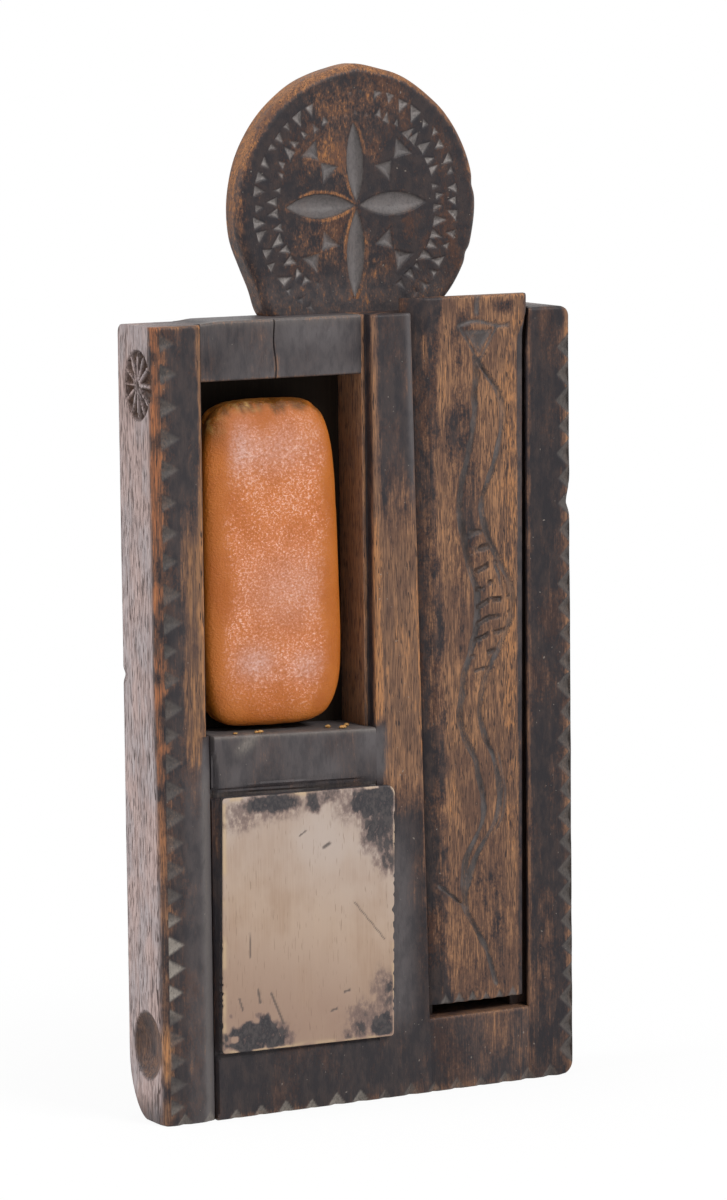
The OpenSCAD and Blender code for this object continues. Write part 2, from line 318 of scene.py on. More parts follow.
def chip_row(run, inward, places, sunk, reach, half, blunt):
    """A row of triangular chips along an edge. Each is a V that is deepest `blunt` from the edge, runs out
    `reach` further in and is `half` wide on either side; a steep facet closes it towards the edge."""
    sizes = np.random.default_rng(len(places)).uniform(0.82, 1.12, len(places))
    away = np.abs(run[..., None] - places)
    nearest = away.argmin(-1)
    size = sizes[nearest]
    inside = inward - blunt
    valley = sunk * (size - inside / reach) - sunk / half * away.min(-1)
    wall = (inside + 0.8) * 2.2 if blunt > 0 else valley
    return np.clip(np.minimum(valley, wall), 0, None)


def edge_places(low, high, pitch_low, pitch_high, seed):
    """Places along an edge whose pitch changes evenly from one end to the other, a little uneven."""
    count = int((high - low) / ((pitch_low + pitch_high) / 2)) + 1
    t = np.linspace(0, 1, count)
    bend = (pitch_high - pitch_low) / (pitch_high + pitch_low)
    uneven = np.random.default_rng(seed).uniform(-0.6, 0.6, count)
    return low + (high - low) * t * (1 - bend + bend * t) + uneven


LEFT_CHIPS = edge_places(8.5, 329, 9.0, 13.2, 3)
RIGHT_CHIPS = edge_places(11, 318, 11.2, 10.9, 4)
FOOT_CHIPS = edge_places(LEFT + 10, RIGHT - 12, 11.6, 10.8, 5)


def foot_cut(x, z):
    """The row of chips along the lower edge, points up."""
    return chip_row(x, z, FOOT_CHIPS, 2.0, 5.8, 4.6, 0.0)


def foot_round(z):
    """The worn lower front edge."""
    return end_round(z, 0.7)


def planed(x, z, seed, depth=0.28):
    """The unevenness of a hand-planed face: broad shallow waves, always inwards."""
    return depth * (0.5 + 0.5 * noise(x / 17, z / 46, seed))


def lens(along, across, length, width, steep):
    """A petal: a hollow whose border is two arcs that meet at both ends. Returns its depth and the distance
    inside its border."""
    border = np.clip(width * (1 - (2 * along / length - 1) ** 2), 1e-3, None)
    inside = (along > 0) & (along < length)
    hollow = np.clip(1 - (across / border) ** 2, 0, None) * border * steep
    return np.where(inside, hollow, 0), np.where(inside, border - np.abs(across), -9)


def wedge(along, across, length, spread, steep):
    """A three-sided chip with its point at the origin and its base `length` away."""
    sides = spread * along - np.abs(across)
    return np.clip(np.minimum(sides, (length - along) * 1.1), 0, None) * steep


def turned(u, v, angle):
    """Places along and across a line that leaves the origin at that angle."""
    return u * math.cos(angle) + v * math.sin(angle), v * math.cos(angle) - u * math.sin(angle)


def head_carving(x, z):
    """The head's cuts: a flower of four petals, a pair of chips tip to tip on each diagonal, and a double
    ring of chips that point at each other's gaps. Returns the depth of cut and the distance inside a petal's
    border."""
    u, v = x - HEAD_X + 1.1, z - HEAD_Z - 0.9
    cut, rim = np.zeros_like(u), np.full_like(u, -9.0)
    petals = [(1, 33, 5.2, 0.5), (92, 35, 4.2, 0.72), (180, 33.5, 5.4, 0.72), (268, 39, 4.5, 0.66)]
    for degrees, length, width, steep in petals:
        along, across = turned(u, v, math.radians(degrees))
        depth, border = lens(along - 0.6, across, length, width, steep)
        cut, rim = np.maximum(cut, depth), np.maximum(rim, border)
    pair_x, pair_z = 17.5, 19.0
    for sx, sz in ((-1, 1), (1, 1), (-1, -1), (1, -1)):
        along, across = turned(u - sx * pair_x, v - sz * pair_z, math.atan2(sz * 1.1, sx))
        for way in (-1, 1):
            cut = np.maximum(cut, wedge(along * way, across, 8.2, 0.70, 0.5))
    radius, angle = np.hypot(u, v), np.arctan2(v, u)
    faded = 0.25 + 0.75 * ease(np.hypot((u + 6) / 18, (v - 44) / 12), 0.6, 1.4)
    faded *= (0.3 + 0.7 * ease(v, -42, -24)) * (1 - ease(v, -27, -35) * ease(np.abs(u), 24, 14))
    faded *= 0.8 + 0.35 * ease(noise(u / 10, v / 10, 26), -0.7, 0.1)
    count, tall = 46, 6.6
    for base, way, shift, half in ((48.9, -1, 0.0, 3.2), (37.4, 1, 0.5, 2.7)):
        rng = np.random.default_rng(21 + way)
        step = angle / (2 * math.pi) * count + shift
        which = np.round(step).astype(int) % count
        size, slide, lean, drop = (rng.uniform(-1, 1, count)[which] for _ in range(4))
        arc = (step - np.round(step) - 0.14 * slide) * 2 * math.pi / count * radius
        inside = (radius - base) * way + 0.9 * drop
        sides = half * (0.85 + 0.25 * size - inside / tall) - np.abs(arc + 0.4 * lean * inside)
        cut = np.maximum(cut, np.clip(np.minimum(sides, inside * 1.8), 0, None) * 0.62 * faded)
    return cut, rim


def board_local(x, z):
    """Places on the rubbing board, measured from its middle and turned with it."""
    c, s = math.cos(BOARD_TURN), math.sin(BOARD_TURN)
    return (x - BOARD_X) * c - (z - BOARD_Z) * s, (x - BOARD_X) * s + (z - BOARD_Z) * c


def board_world(lx, lz):
    """The way back: x and z of a place on the rubbing board."""
    c, s = math.cos(BOARD_TURN), math.sin(BOARD_TURN)
    return BOARD_X + lx * c + lz * s, BOARD_Z - lx * s + lz * c


def outside_board(x, z):
    """Distance outside the rubbing board's edge, negative inside it."""
    lx, lz = board_local(x, z)
    return np.maximum(np.abs(lx) - BOARD_W / 2, np.abs(lz) - BOARD_H / 2)


def groove(away, depth, half):
    """A worn score of that depth and half width, round at the bottom and at both edges."""
    return np.clip(1 - (away / half) ** 2, 0, None) ** 2 * depth


def lid_carving(x, z):
    """The lid's cuts: a long winding body between two scored lines with short bars across it, a wedge for
    its head, a slanting score below and a row of chips along the lower edge. The lines swing about a middle
    line like two cosines of unlike length. Returns the depth of cut, the inside of the body and the bars."""
    middle = 55 + 5.6 * np.cos(2 * math.pi * (z - 209) / 83) - 3.0 * ease(z, 118, 100)
    gap = (5.3 + 1.6 * np.cos(2 * math.pi * (z - 212) / 75)) * span(z, 80, 104, 298, 319)
    gap = gap * (1 - 0.33 * ease(z, 165, 140))
    broad = gap + 3.6 * span(z, 150, 185, 262, 286)
    wander = 0.9 * noise(z / 9, 0.5, 31)
    pressed = span(z, 76, 80, 314, 318) * (0.72 + 0.42 * noise(z / 10, 2.5, 32))
    breadth = 1 + 0.28 * noise(x / 5, z / 4.5, 45)
    low_second = span(z, 104, 110, 142, 152) * (0.55 + 0.6 * noise(z / 12, 6.5, 37))
    second = span(z, 170, 178, 224, 232) * (0.6 + 0.6 * noise(z / 15, 4.5, 37))
    pitch = 7.4
    slant = z - 0.22 * (x - middle) + 0.8 * noise(x / 6, z / 9, 36)
    bars = np.abs((slant / pitch) % 1 - 0.5) * pitch
    inside = ease(x - middle, -gap, 0.8 - gap) * ease(x - middle, broad, broad - 0.8)
    ribbed = inside * span(z, 178, 184, 240, 246) * ease(noise(x / 3.2, z / 3.7, 39), -0.7, 0.0)
    ribs = groove(bars, 1.3, 1.9 * breadth) * ribbed
    tip_x, tip_z = 55.6, 315.6
    brow = 330.0 + 1.2 * np.sin((x - 47) / 4.2)
    score = np.interp(z, [43, 59, 80, 92], [62, 57.4, 45.7, 31])
    teeth = np.arange(35, 76, 6.7) + 1.5
    cuts = [groove(x - middle + gap + wander, 1.9, 2.2 * breadth) * pressed,
            groove(x - middle - broad + 0.7 * wander, 1.7, 2.1 * breadth) * pressed,
            groove(x - middle - broad - 2.8 + wander, 1.0, 1.5) * low_second,
            groove(x - middle - broad + 3.4 - wander, 0.8, 1.6) * second,
            ribs,
            groove(x - 54.6 - 0.1 * (z - 335), 0.9, 2.2) * ease(z, 332.5, 336),
            wedge(z - tip_z, x - tip_x, 12.5, 0.66, 0.48),
            groove(np.abs(x - tip_x) - 0.62 * (z - tip_z) - 1.0, 0.7, 1.4) * span(z, 306, 311, 328, 331),
            groove(z - brow, 0.75, 1.5) * ease(np.abs(x - 58), 14, 12),
            groove(x - score, 1.3, 1.8 * breadth) * span(z, 42, 46, 88, 91),
            chip_row(x, z - lid_low[2], teeth, 1.3, 5.6, 3.3, 0.0)]
    return np.maximum.reduce(cuts), inside, ribs


# Members of the plank

def stile_corners(z, grooved, left_round):
    """The centre stile's section. Its right side is undercut for the lid above the lid's sill."""
    lip = lip_left(z)
    under, lip_round = (UNDER_LEFT, 0.7) if grooved else (SHARP, SHARP)
    return [(BRICK_RIGHT, BACK_D, 0.1), (BRICK_RIGHT, REBATE_D, 0.5), (LEDGE_RIGHT, REBATE_D, 0.3),
            (LEDGE_RIGHT, 0, left_round), (lip, 0, lip_round), (lip, LIP_D_LEFT, 0.01),
            (lip - under, GROOVE_D, 0.01), (lip - under + 0.01, BED_D, 0.01), (POWDER_LEFT, BED_D, 0.3),
            (POWDER_LEFT, BACK_D, 0.1)]


def front_only(d, shift, fade=5.0):
    """Moves the points near the front back by `shift`, and those behind them less."""
    return d + shift * np.clip(1 - d / fade, 0, 1)


def centre_stile(finish):
    """The stile between the compartments: its section carried up the grain. It is rubbed at hand height and
    along the edge of the open compartment."""
    levels = [(0, stile_corners(0, False, SHARP)), (LID_SILL - SHARP, stile_corners(LID_SILL, False, SHARP))]
    levels += [(z, stile_corners(z, True, SHARP)) for z in (LID_SILL, 158)]
    levels += [(z, stile_corners(z, True, 1.3)) for z in (162, SHOULDER)]
    ends = SHOULDER - np.array([0.2, 0.5, 0.9])
    heights = rows(0, SHOULDER, 2 * EVEN, np.arange(0, 6, 0.4), LID_SILL - SHARP, LID_SILL, ends)
    x, d, z = loft(levels, [5, 2, 4, 30, 3, 3, 1, 8, 5, 8], heights)
    cut = np.where(d < 1.5, foot_cut(x, z), 0)
    level = planed(x, z, 11) * ease(x, 30, 24) * ease(x, LEDGE_RIGHT, LEDGE_RIGHT + 5)
    shift = foot_round(z) + end_round(SHOULDER - z, 1.2) + level
    d = np.maximum(front_only(d, shift), cut)
    rubbed = span(z, 112, 154, 226, 278) * np.clip(1 - d / 3, 0, 1)
    rubbed *= np.maximum(ease(z, 160, 168), ease(x, LEDGE_RIGHT + 1, LEDGE_RIGHT + 8))
    worn = 0.88 * rubbed + 0.12 * ease(z, 40, 0)
    worn += near(x - LEDGE_RIGHT - 0.9, d, 2.2) * ease(z, 160, 166) * (0.75 + 0.3 * noise(z / 14, 0.5, 12))
    worn += 0.42 * near(x - lip_left(z) + 0.3, d, 0.9) * ease(z, 40, 90)
    pocket = (d > 5.5) & (x < 3)
    worn = np.where(pocket, 1.25, worn)
    low_dull = 0.85 * span(z, 24, 40, 90, 136) * ease(x, 26, 14) + 0.12 * ease(z, 34, 26)
    dull = np.where(d < 2, 0.15 * ease(z, 240, 280) + low_dull, 0.0)
    # Painted highlight: a pale grey line along the lip's edge on the upper stile, laid in the grey mark
    dull += 0.8 * near(x - lip_left(z) + 1.2, d, 1.6) * ease(z, 230, 290)
    dull += 0.8 * span(z, 136, 144, 158, 164) * ease(x, 16, 4) * ease(d, 3, 1)
    # Painted shade: inner darkens the lid's channel, deep behind and under the lip
    shell = Shell()
    shell.tube(x, d, z, worn=worn, dull=dull, dust=0.3 * ease(cut, 0.1, 0.5),
               bare=np.where(pocket, 0.1, 0), inner=ease(d, 5.5, 7.5) * ease(x, 5, 8))
    return shell.piece("plank_centre_stile", "carcass", finish, ["body_plank"])


def right_corners(z, grooved):
    """The right stile's section. Its lip leans in a little over the lid towards the top."""
    lip = lip_right(z) - float(span(z, 60, 300, 318, 331)) * grooved
    under, lip_round = (UNDER_RIGHT, 0.9) if grooved else (SHARP, SHARP)
    return [(POWDER_RIGHT, BACK_D, 0.1), (POWDER_RIGHT, BED_D, 0.3), (lip + under - 0.01, BED_D, 0.01),
            (lip + under, GROOVE_D, 0.01), (lip, LIP_D_RIGHT, 0.01), (lip, 0, lip_round), (RIGHT, 0, 0.9),
            (RIGHT, DEPTH, 2.2), (BACK_RIGHT, DEPTH, 0.6), (BACK_RIGHT, BACK_D, 0.1)]


def right_stile(finish):
    """The right stile: its section carried up the grain, with chips and a nick in its worn outer edge."""
    levels = [(0, right_corners(0, False)), (LID_SILL - SHARP, right_corners(LID_SILL, False))]
    levels += [(z, right_corners(z, True)) for z in (LID_SILL, 300, 318, 331, SHOULDER)]
    heights = rows(0, SHOULDER, EVEN, LID_SILL - SHARP, LID_SILL, SHOULDER - 0.2)
    x, d, z = loft(levels, [8, 4, 1, 3, 3, 32, 24, 5, 4, 6], heights)
    edge = end_round(z, 6.0) + end_round(SHOULDER - z, 4.5)
    edge += 1.4 * near(z - 253, 0, 5) * ease(d, 14, 2) + 0.08 * (1 + noise(z / 12, d / 9, 14)) * ease(d, 9, 1)
    x = x - edge * ease(x, 88, 98)
    inward = RIGHT - x
    chips = chip_row(z, inward, RIGHT_CHIPS, 2.0, 6.8, 6.8, 0.7)
    cut = np.where(d < 1.7, np.maximum(foot_cut(x, z), chips), 0)
    shift = foot_round(z) + end_round(SHOULDER - z, 1.6) + planed(x, z, 13)
    d = np.maximum(front_only(d, shift), cut)
    worn = near(inward - 1.0, np.clip(d - 1.5, 0, None), 2.8) * (0.75 + 0.6 * noise(z / 6, 0.5, 15))
    worn *= 1 - ease(cut, 0.1, 0.4)
    worn += 0.4 * near(x - lip_right(z) - 0.2, d, 1.2) * ease(z, 20, 40)
    worn += 0.22 * ease(z, 120, 10) * np.clip(1 - d / 3, 0, 1) * ease(x, 97, 88)
    bare = 0.75 * ease(inward, 0.8, 0.2) * ease(d, 3, 6) + 0.5 * ease(d, DEPTH - 0.8, DEPTH - 0.2)
    # Painted shade: inner darkens the lid's channel behind the right lip
    shell = Shell()
    shell.tube(x, d, z, worn=worn, bare=bare, dust=0.26 * ease(cut, 0.1, 0.5),
               inner=ease(d, 5, 7) * ease(x, 90, 86))
    return shell.piece("plank_right_stile", "carcass", finish, ["body_plank"])


def bottom_rail(finish):
    """The rail under the lid: a grid between the two leaning lips, with a worn upper front edge."""
    z = rows(0, LID_SILL, 0.6, LID_SILL - 0.15, LID_SILL - 0.35)[:, None]
    t = np.linspace(0, 1, 78)[None, :]
    x = lip_left(z) + t * (lip_right(z) - lip_left(z))
    cut = foot_cut(x, z)
    d = np.maximum(foot_round(z) + end_round(LID_SILL - z, 1.1) + planed(x, z, 13) * ease(t, 0, 0.1), cut)
    worn = 0.28 * ease(x, 34, 56) * ease(z, 1, 8) + 0.3 * ease(z, 5, 1) + 0.3 * near(LID_SILL - z, 0, 1.2)
    shell = Shell()
    shell.slab(x, d, z, [dropped(BACK_D, worn=0.3)], worn=worn, dull=0.2 * ease(x, 34, 56),
               dust=0.3 * ease(cut, 0.1, 0.5))
    return shell.piece("plank_bottom_rail", "carcass", finish, ["body_plank"])


def field(finish):
    """The ground round the rubbing board, up to the sill: a grid whose rows follow the sloping sill, with a
    hollow run above the board and a dip under it."""
    x = rows(SIDE_IN, LEDGE_RIGHT, 0.8)[None, :]
    tall = 160
    ends = 1 - np.array([0.2, 0.5, 1.0]) / tall
    z = rows(0, 1, 1 / 185, np.arange(0, 0.035, 0.0025), ends)[:, None] * sill_z(x)
    off = outside_board(x, z)
    cut = foot_cut(x, z)
    lx, lz = board_local(x, z)
    above = lz - BOARD_H / 2
    cove = 1.7 * span(above, -1.5, -0.5, 0.6, 5.6) * ease(lx, 33.5, 24)
    cove += 0.35 * np.sin(above * 2.6) * ease(np.abs(above - 3.4), 3.4, 1.5) * ease(lx, 33, 20)
    ditch = 0.7 * near(off - 0.6, 0, 0.9)
    under = (BOARD_SUNK - 0.3) * ease(off, -1.0, -1.8)
    d = foot_round(z) + end_round(sill_z(x) - z, 1.5) + planed(x, z, 11) * ease(x, 0, -6)
    d = np.maximum(d + np.maximum(np.maximum(cove, ditch), under), cut)
    seam = 0.9 + 1.5 * span(z, 24, 32, 150, 158)
    d = d + 2.2 * ease(x, SIDE_IN + seam, SIDE_IN + 0.25 * seam) * ease(z, 1, 4)
    worn = 0.12 * near(sill_z(x) - z, 0, 1.4) + 0.5 * ease(z, 4, 0) * (0.6 + 0.6 * noise(x / 7, 0.5, 16))
    dull = 0.9 * ease(z, 136, 144) * (0.75 + 0.35 * noise(x / 9, z / 12, 17)) + 0.12 * ease(z, 34, 26)
    dust = (0.62 + 0.4 * near((x + 24) / 20, 0, 1)) * ease(cut, 0.1, 0.5)
    dust += 0.34 * near(sill_z(x) - z - 0.6, 0, 1.0)
    dust += 0.2 * near(above - 0.9, 0, 0.8)
    dust += 0.55 * near((x + 58) / 2.2, (z - 159 - 0.5 * (x + 58)) / 1.4, 2.2)
    shell = Shell()
    shell.slab(x, d, z, [dropped(BACK_D, dust=0.0)], worn=worn, dull=dull, dust=dust)
    return shell.piece("plank_field", "carcass", finish, ["body_plank"])


def top_rail(finish):
    """The rail over the compartments: an L-shaped section of depth and height carried across the box, with
    a crack up its front."""
    low, top = BRICK_TOP, SHOULDER - 0.1
    section = outline([(low, REBATE_D, 0.9), (top, REBATE_D, 1.3), (top, DEPTH, 1.0), (BACK_TOP, DEPTH, 0.4),
                       (BACK_TOP, BACK_D, 0.1), (low, BACK_D, 0.3)], [22, 16, 6, 3, 6, 10])
    crack_x = -39.0
    places = rows(SIDE_IN, BACK_RIGHT, 1.6, np.arange(crack_x - 1.8, crack_x + 1.8, 0.12))
    x, d, z = carried_across(section, places)
    front = np.clip(1 - (d - REBATE_D) / 3, 0, 1)
    line = crack_x + 0.35 * np.sin(z / 3.1) - 0.03 * (z - low)
    crack = np.clip(1 - np.abs(x - line) / 0.34, 0, 1)
    wave = planed(x, z, 18, 0.35) + ease(x, 8, 18) * (BED_D - REBATE_D)
    d = d + front * (wave + 1.3 * crack)
    z = z - (0.7 * crack + 0.8 * ease(x, SIDE_IN + 9, SIDE_IN)) * ease(z, low + 4, top)
    worn = 0.5 * near(z - low, d - REBATE_D, 1.0) + 0.45 * near(z - top, d - REBATE_D, 1.4)
    worn += 0.45 * near(np.abs(x - line) - 0.7, 0, 0.5) * front * (0.6 + 0.6 * noise(z / 5, 0.5, 19))
    worn = worn * ease(x, 2, 0)
    smeared = 0.72 + 0.3 * noise(x / 14, z / 11, 20) - 0.3 * near((x + 70) / 2, 0, 5)
    dull = front * smeared + 0.7 * ease(z, top - 0.6, top)
    # Painted shade: inner darkens the rail's underside over the open compartment
    shell = Shell()
    shell.tube(x, d, z, worn=worn, dull=dull, dust=0.3 * near(z - top, d - REBATE_D - 2, 2.5),
               inner=ease(z, low + 0.8, low + 0.2))
    return shell.piece("plank_top_rail", "carcass", finish, ["body_plank"])


def back_bar(finish):
    """The bar behind the foot of the plank, under the back board."""
    section = outline([(0, BACK_D - 0.5, 0.1), (BACK_BOTTOM, BACK_D - 0.5, 0.1), (BACK_BOTTOM, DEPTH, 0.6),
                       (0, DEPTH, 1.6)], [6, 3, 6, 3])
    shell = Shell()
    shell.tube(*carried_across(section, rows(SIDE_IN, BACK_RIGHT, 4)), worn=0.2, bare=0.5)
    return shell.piece("plank_back_bar", "carcass", finish, ["body_plank"])


# Rubbed spots on the head: strength, x, z, width and height
HEAD_RUBBED = [(0.76, -5, 402, 10.8, 9), (0.34, 0.5, 402, 3.5, 8.4), (0.3, 16.5, 404, 2.45, 9.1),
               (0.3, -12, 366, 25.2, 15.4), (0.26, 12, 354, 14, 11), (0.5, 4, 423, 21.6, 9.9)]


def head_disc():
    """The head's face seen from the front: a square grid pressed into a disc and cut off inside the plank.
    The disc's outline is two arcs, each with its centre HEAD_SLIM beyond the middle, a little wavy, with two
    nicks on the right and a flare at the left foot. Returns x, z and the distance inside the outline."""
    side = np.linspace(-1, 1, 268)
    across, up = pressed_round(*np.meshgrid(side, side))
    share, angle = np.hypot(across, up), np.arctan2(up, across)
    degrees = np.degrees(angle)
    foot = SHOULDER - 6 - HEAD_Z
    full = np.sqrt(HEAD_R ** 2 - (HEAD_SLIM * np.sin(angle)) ** 2) - HEAD_SLIM * np.abs(np.cos(angle))
    reach = full - 0.35 + 0.35 * noise(np.cos(angle) * 5, np.sin(angle) * 5, 23)
    rise = reach * np.sin(angle)
    reach = reach - 0.7 * near(degrees - 8, 0, 3) - 0.8 * near(degrees + 22, 0, 2.5)
    downwards = np.minimum(np.sin(angle), -1e-6)
    flare = 4.4 * near((rise - foot - 8) / 6, 0, 1) * (np.cos(angle) < 0)
    reach = np.minimum(reach + flare, foot / downwards)
    x, z = HEAD_X + share * reach * np.cos(angle), HEAD_Z + share * reach * np.sin(angle)
    return x, z, (1 - share) * reach


def head_marks(x, z, inside, cut, rim):
    """The head is rubbed along its upper edge and in some spots. The petals' borders show rubbed wood with a
    painted highlight that grows towards the left. Its cuts are greyed by bloom and painted sheen, and dust
    lies in them, most of all in the small chips."""
    upper = ease(z, HEAD_Z - 45, HEAD_Z - 10)
    worn = ease(inside, 4.2, 0.8) * (0.42 + 0.52 * ease(z, HEAD_Z - 10, HEAD_Z + 48)) * upper
    worn *= 1 - 0.15 * ease(x, HEAD_X - 30, HEAD_X - 48)
    worn += 0.06 * ease(z, HEAD_Z - 34, HEAD_Z - 20) + 0.36 * ease(z, 356, 342)
    # Painted highlight on the petals' borders, stronger towards the left, drawn in the rubbed wood's colours
    lit = ease(noise(x / 11, z / 11, 22) - (x - HEAD_X) / 45, -0.3, 0.4)
    worn += 0.8 * near(rim + 0.5, 0, 0.9) * lit + spots(x, z, HEAD_RUBBED)
    worn *= 1 - 0.85 * ease(cut, 0.15, 0.6)
    small = ease(np.hypot(x - HEAD_X, z - HEAD_Z), 36, 39)
    dull = 0.8 * ease(cut, 0.4, 1.4) + 0.38 * ease(z, 356, 342)
    dust = (0.28 + 0.6 * small * (0.65 + 0.5 * noise(x / 3, z / 3, 44))) * ease(cut, 0.15, 0.6)
    return {"worn": worn, "dull": dull, "dust": dust}


def head_ring(depth, inset):
    """The head's border carried back to a depth and drawn in towards the middle. Inside the plank it stops
    just before the back."""
    foot_d = min(depth, DEPTH - 0.15)

    def carried(x, d, z):
        left_over = 1 - inset / np.hypot(x - HEAD_X, z - HEAD_Z)
        back = np.where(z < SHOULDER + 0.5, foot_d, depth)
        aged = ease(z, HEAD_Z - 40, HEAD_Z + 15) * ease(inset, 9, 0.5)
        dry = 0.35 * ease(inset, 0.5, 9)
        moved = HEAD_X + (x - HEAD_X) * left_over, back, HEAD_Z + (z - HEAD_Z) * left_over
        return moved, {"worn": 0.26 + 0.56 * aged, "bare": dry, "dust": 0.0, "dull": 0.0}

    return carried


def head(finish):
    """The round head: its disc, with the front edge rounded over and the carving sunk into it, carried back
    in rings that close to a flat back."""
    x, z, inside = head_disc()
    cut, rim = head_carving(x, z)
    dished = 0.2 * ease(inside, 3, 16)
    d = HEAD_D + end_round(inside, HEAD_ROUND) + dished + planed(x, z, 24, 0.5) + cut * ease(inside, 2.5, 4.5)
    rings = [head_ring(depth, 0) for depth in (24.6, 26.4, 28.2, 30, 31)] + [head_ring(31.7, 0.3)]
    rings += [head_ring(DEPTH, inset) for inset in (1.0, 5, 12, 30, 46)]
    shell = Shell()
    shell.slab(x, d, z, rings, **head_marks(x, z, inside, cut, rim))
    return shell.piece("plank_head", "carcass", finish, ["body_plank"])


# The other pieces

def strip_corners(rebated, backed):
    """The side strip's section: rebated beside the compartment, and let in behind for the back board."""
    rebate = [(LEDGE_LEFT, 0, 0.9), (LEDGE_LEFT, REBATE_D, 0.2), (SIDE_IN, REBATE_D, 0.5)]
    plain = [(STRIP_SOFT, 0, 6.0), (SIDE_IN, 2.6, 2.4), (SIDE_IN, REBATE_D, 0.2)]
    let_in = [(SIDE_IN, BACK_D, 0.1), (STRIP_BACK, BACK_D, 0.1), (STRIP_BACK, DEPTH, 0.5)]
    whole = [(SIDE_IN, DEPTH - 0.4, 0.1), (SIDE_IN - 0.4, DEPTH, 0.1), (STRIP_BACK, DEPTH, 0.1)]
    inner, behind = rebate if rebated else plain, let_in if backed else whole
    return [(LEFT, 0, 3.5), *inner, *behind, (LEFT, DEPTH, 1.2)]


def rosette(d, z):
    """A sunk wheel: an oval recess with narrow spokes left standing, which run out at its middle. Returns
    the depth of cut, the inside of the oval and the spokes."""
    spokes, spoke_r = 12, 13
    u, v = (d - ROSETTE_D) / ROSETTE_WIDE, (z - ROSETTE_Z) / ROSETTE_TALL
    radius, angle = np.hypot(u, v), np.arctan2(v, u)
    sunk = ease(radius, 1.04, 0.92)
    spoke = np.abs((angle / (2 * math.pi) * spokes + 0.12 * np.sin(3 * angle)) % 1 - 0.5)
    away = (0.5 - spoke) * 2 * math.pi / spokes * radius * spoke_r
    ragged = 0.25 * noise(d / 1.4, z / 1.4, 27)
    stand = ease(away + ragged, 0.85, 0.3) * span(radius, 0.05, 0.2, 0.9, 0.98)
    bowl = 2.6 * (0.55 + 0.45 * ease(away, 0.4, 2.6))
    return sunk * (bowl - 1.9 * stand), sunk, stand


def dish(d, z):
    """A hollow scooped with a gouge, about an oval slice of a ball. Returns its depth and its inside."""
    off = np.hypot((d - DISH_D) / DISH_WIDE, (z - DISH_Z) / DISH_TALL)
    return 4.4 * np.clip(1 - off ** 2.4, 0, None), ease(off, 1.02, 0.9)


def strip_shape():
    """The strip before it is carved: its section carried up the grain, with all behind same_d drawn in
    where the heel and the top are worn round, and the lower front edge worn soft."""
    changes = [(0, False, False), (BACK_BOTTOM - SHARP, False, False), (BACK_BOTTOM, False, True),
               (SILL_LEFT - SHARP, False, True), (SILL_LEFT, True, True), (BACK_TOP, True, True),
               (BACK_TOP + SHARP, True, False), (STRIP_TOP, True, False)]
    levels = [(z, strip_corners(rebated, backed)) for z, rebated, backed in changes]
    heights = rows(0, STRIP_TOP, EVEN, *[z for z, _ in levels], STRIP_TOP - 0.2)
    x, d, z = loft(levels, [36, 3, 3, 8, 3, 2, 6, 50], heights)
    same_d = 12
    deep = DEPTH - 0.75 * end_round(z, 27.0) - end_round(STRIP_TOP - z, 4.0)
    d = np.where(d > same_d, same_d + (d - same_d) * (deep - same_d) / (DEPTH - same_d), d)
    soft = 1.1 * ease(z, 200, 90) * near(x - LEFT, d, 4.0)
    return x + soft, d + soft, z


def strip_wear(x, d, z, in_side, in_chip):
    """The strip is rubbed along its outer front edge between the chips, along the ledge of the compartment,
    at its top, across its face at hand height and beside the dish."""
    worn = near(in_side - 0.4, np.clip(d - 0.8, 0, None), 2.6) * (0.54 + 0.6 * noise(z / 7, 0.5, 28))
    worn += 0.48 * near(in_side - 4.4, d, 2.8) * (1 - in_chip) * (0.6 + 0.8 * noise(z / 5, 3.5, 28))
    worn *= 1 - in_chip
    ledge = np.where(z > SILL_LEFT, near(x - LEDGE_LEFT + 0.4, d, 1.1 + 1.2 * ease(z, 295, 330)), 0)
    worn += 0.95 * ledge + 0.45 * near(STRIP_TOP - z, 0, 1.2) * ease(d, 6, 2)
    worn += 0.66 * ease(np.abs(z - 205), 66, 36) * ease(d, 1, 0.4) * ease(in_side, 10, 16)
    return worn + near(in_side - 1.8, d - 0.8, 2.6) * ease(np.abs(z - 31), 13, 8)


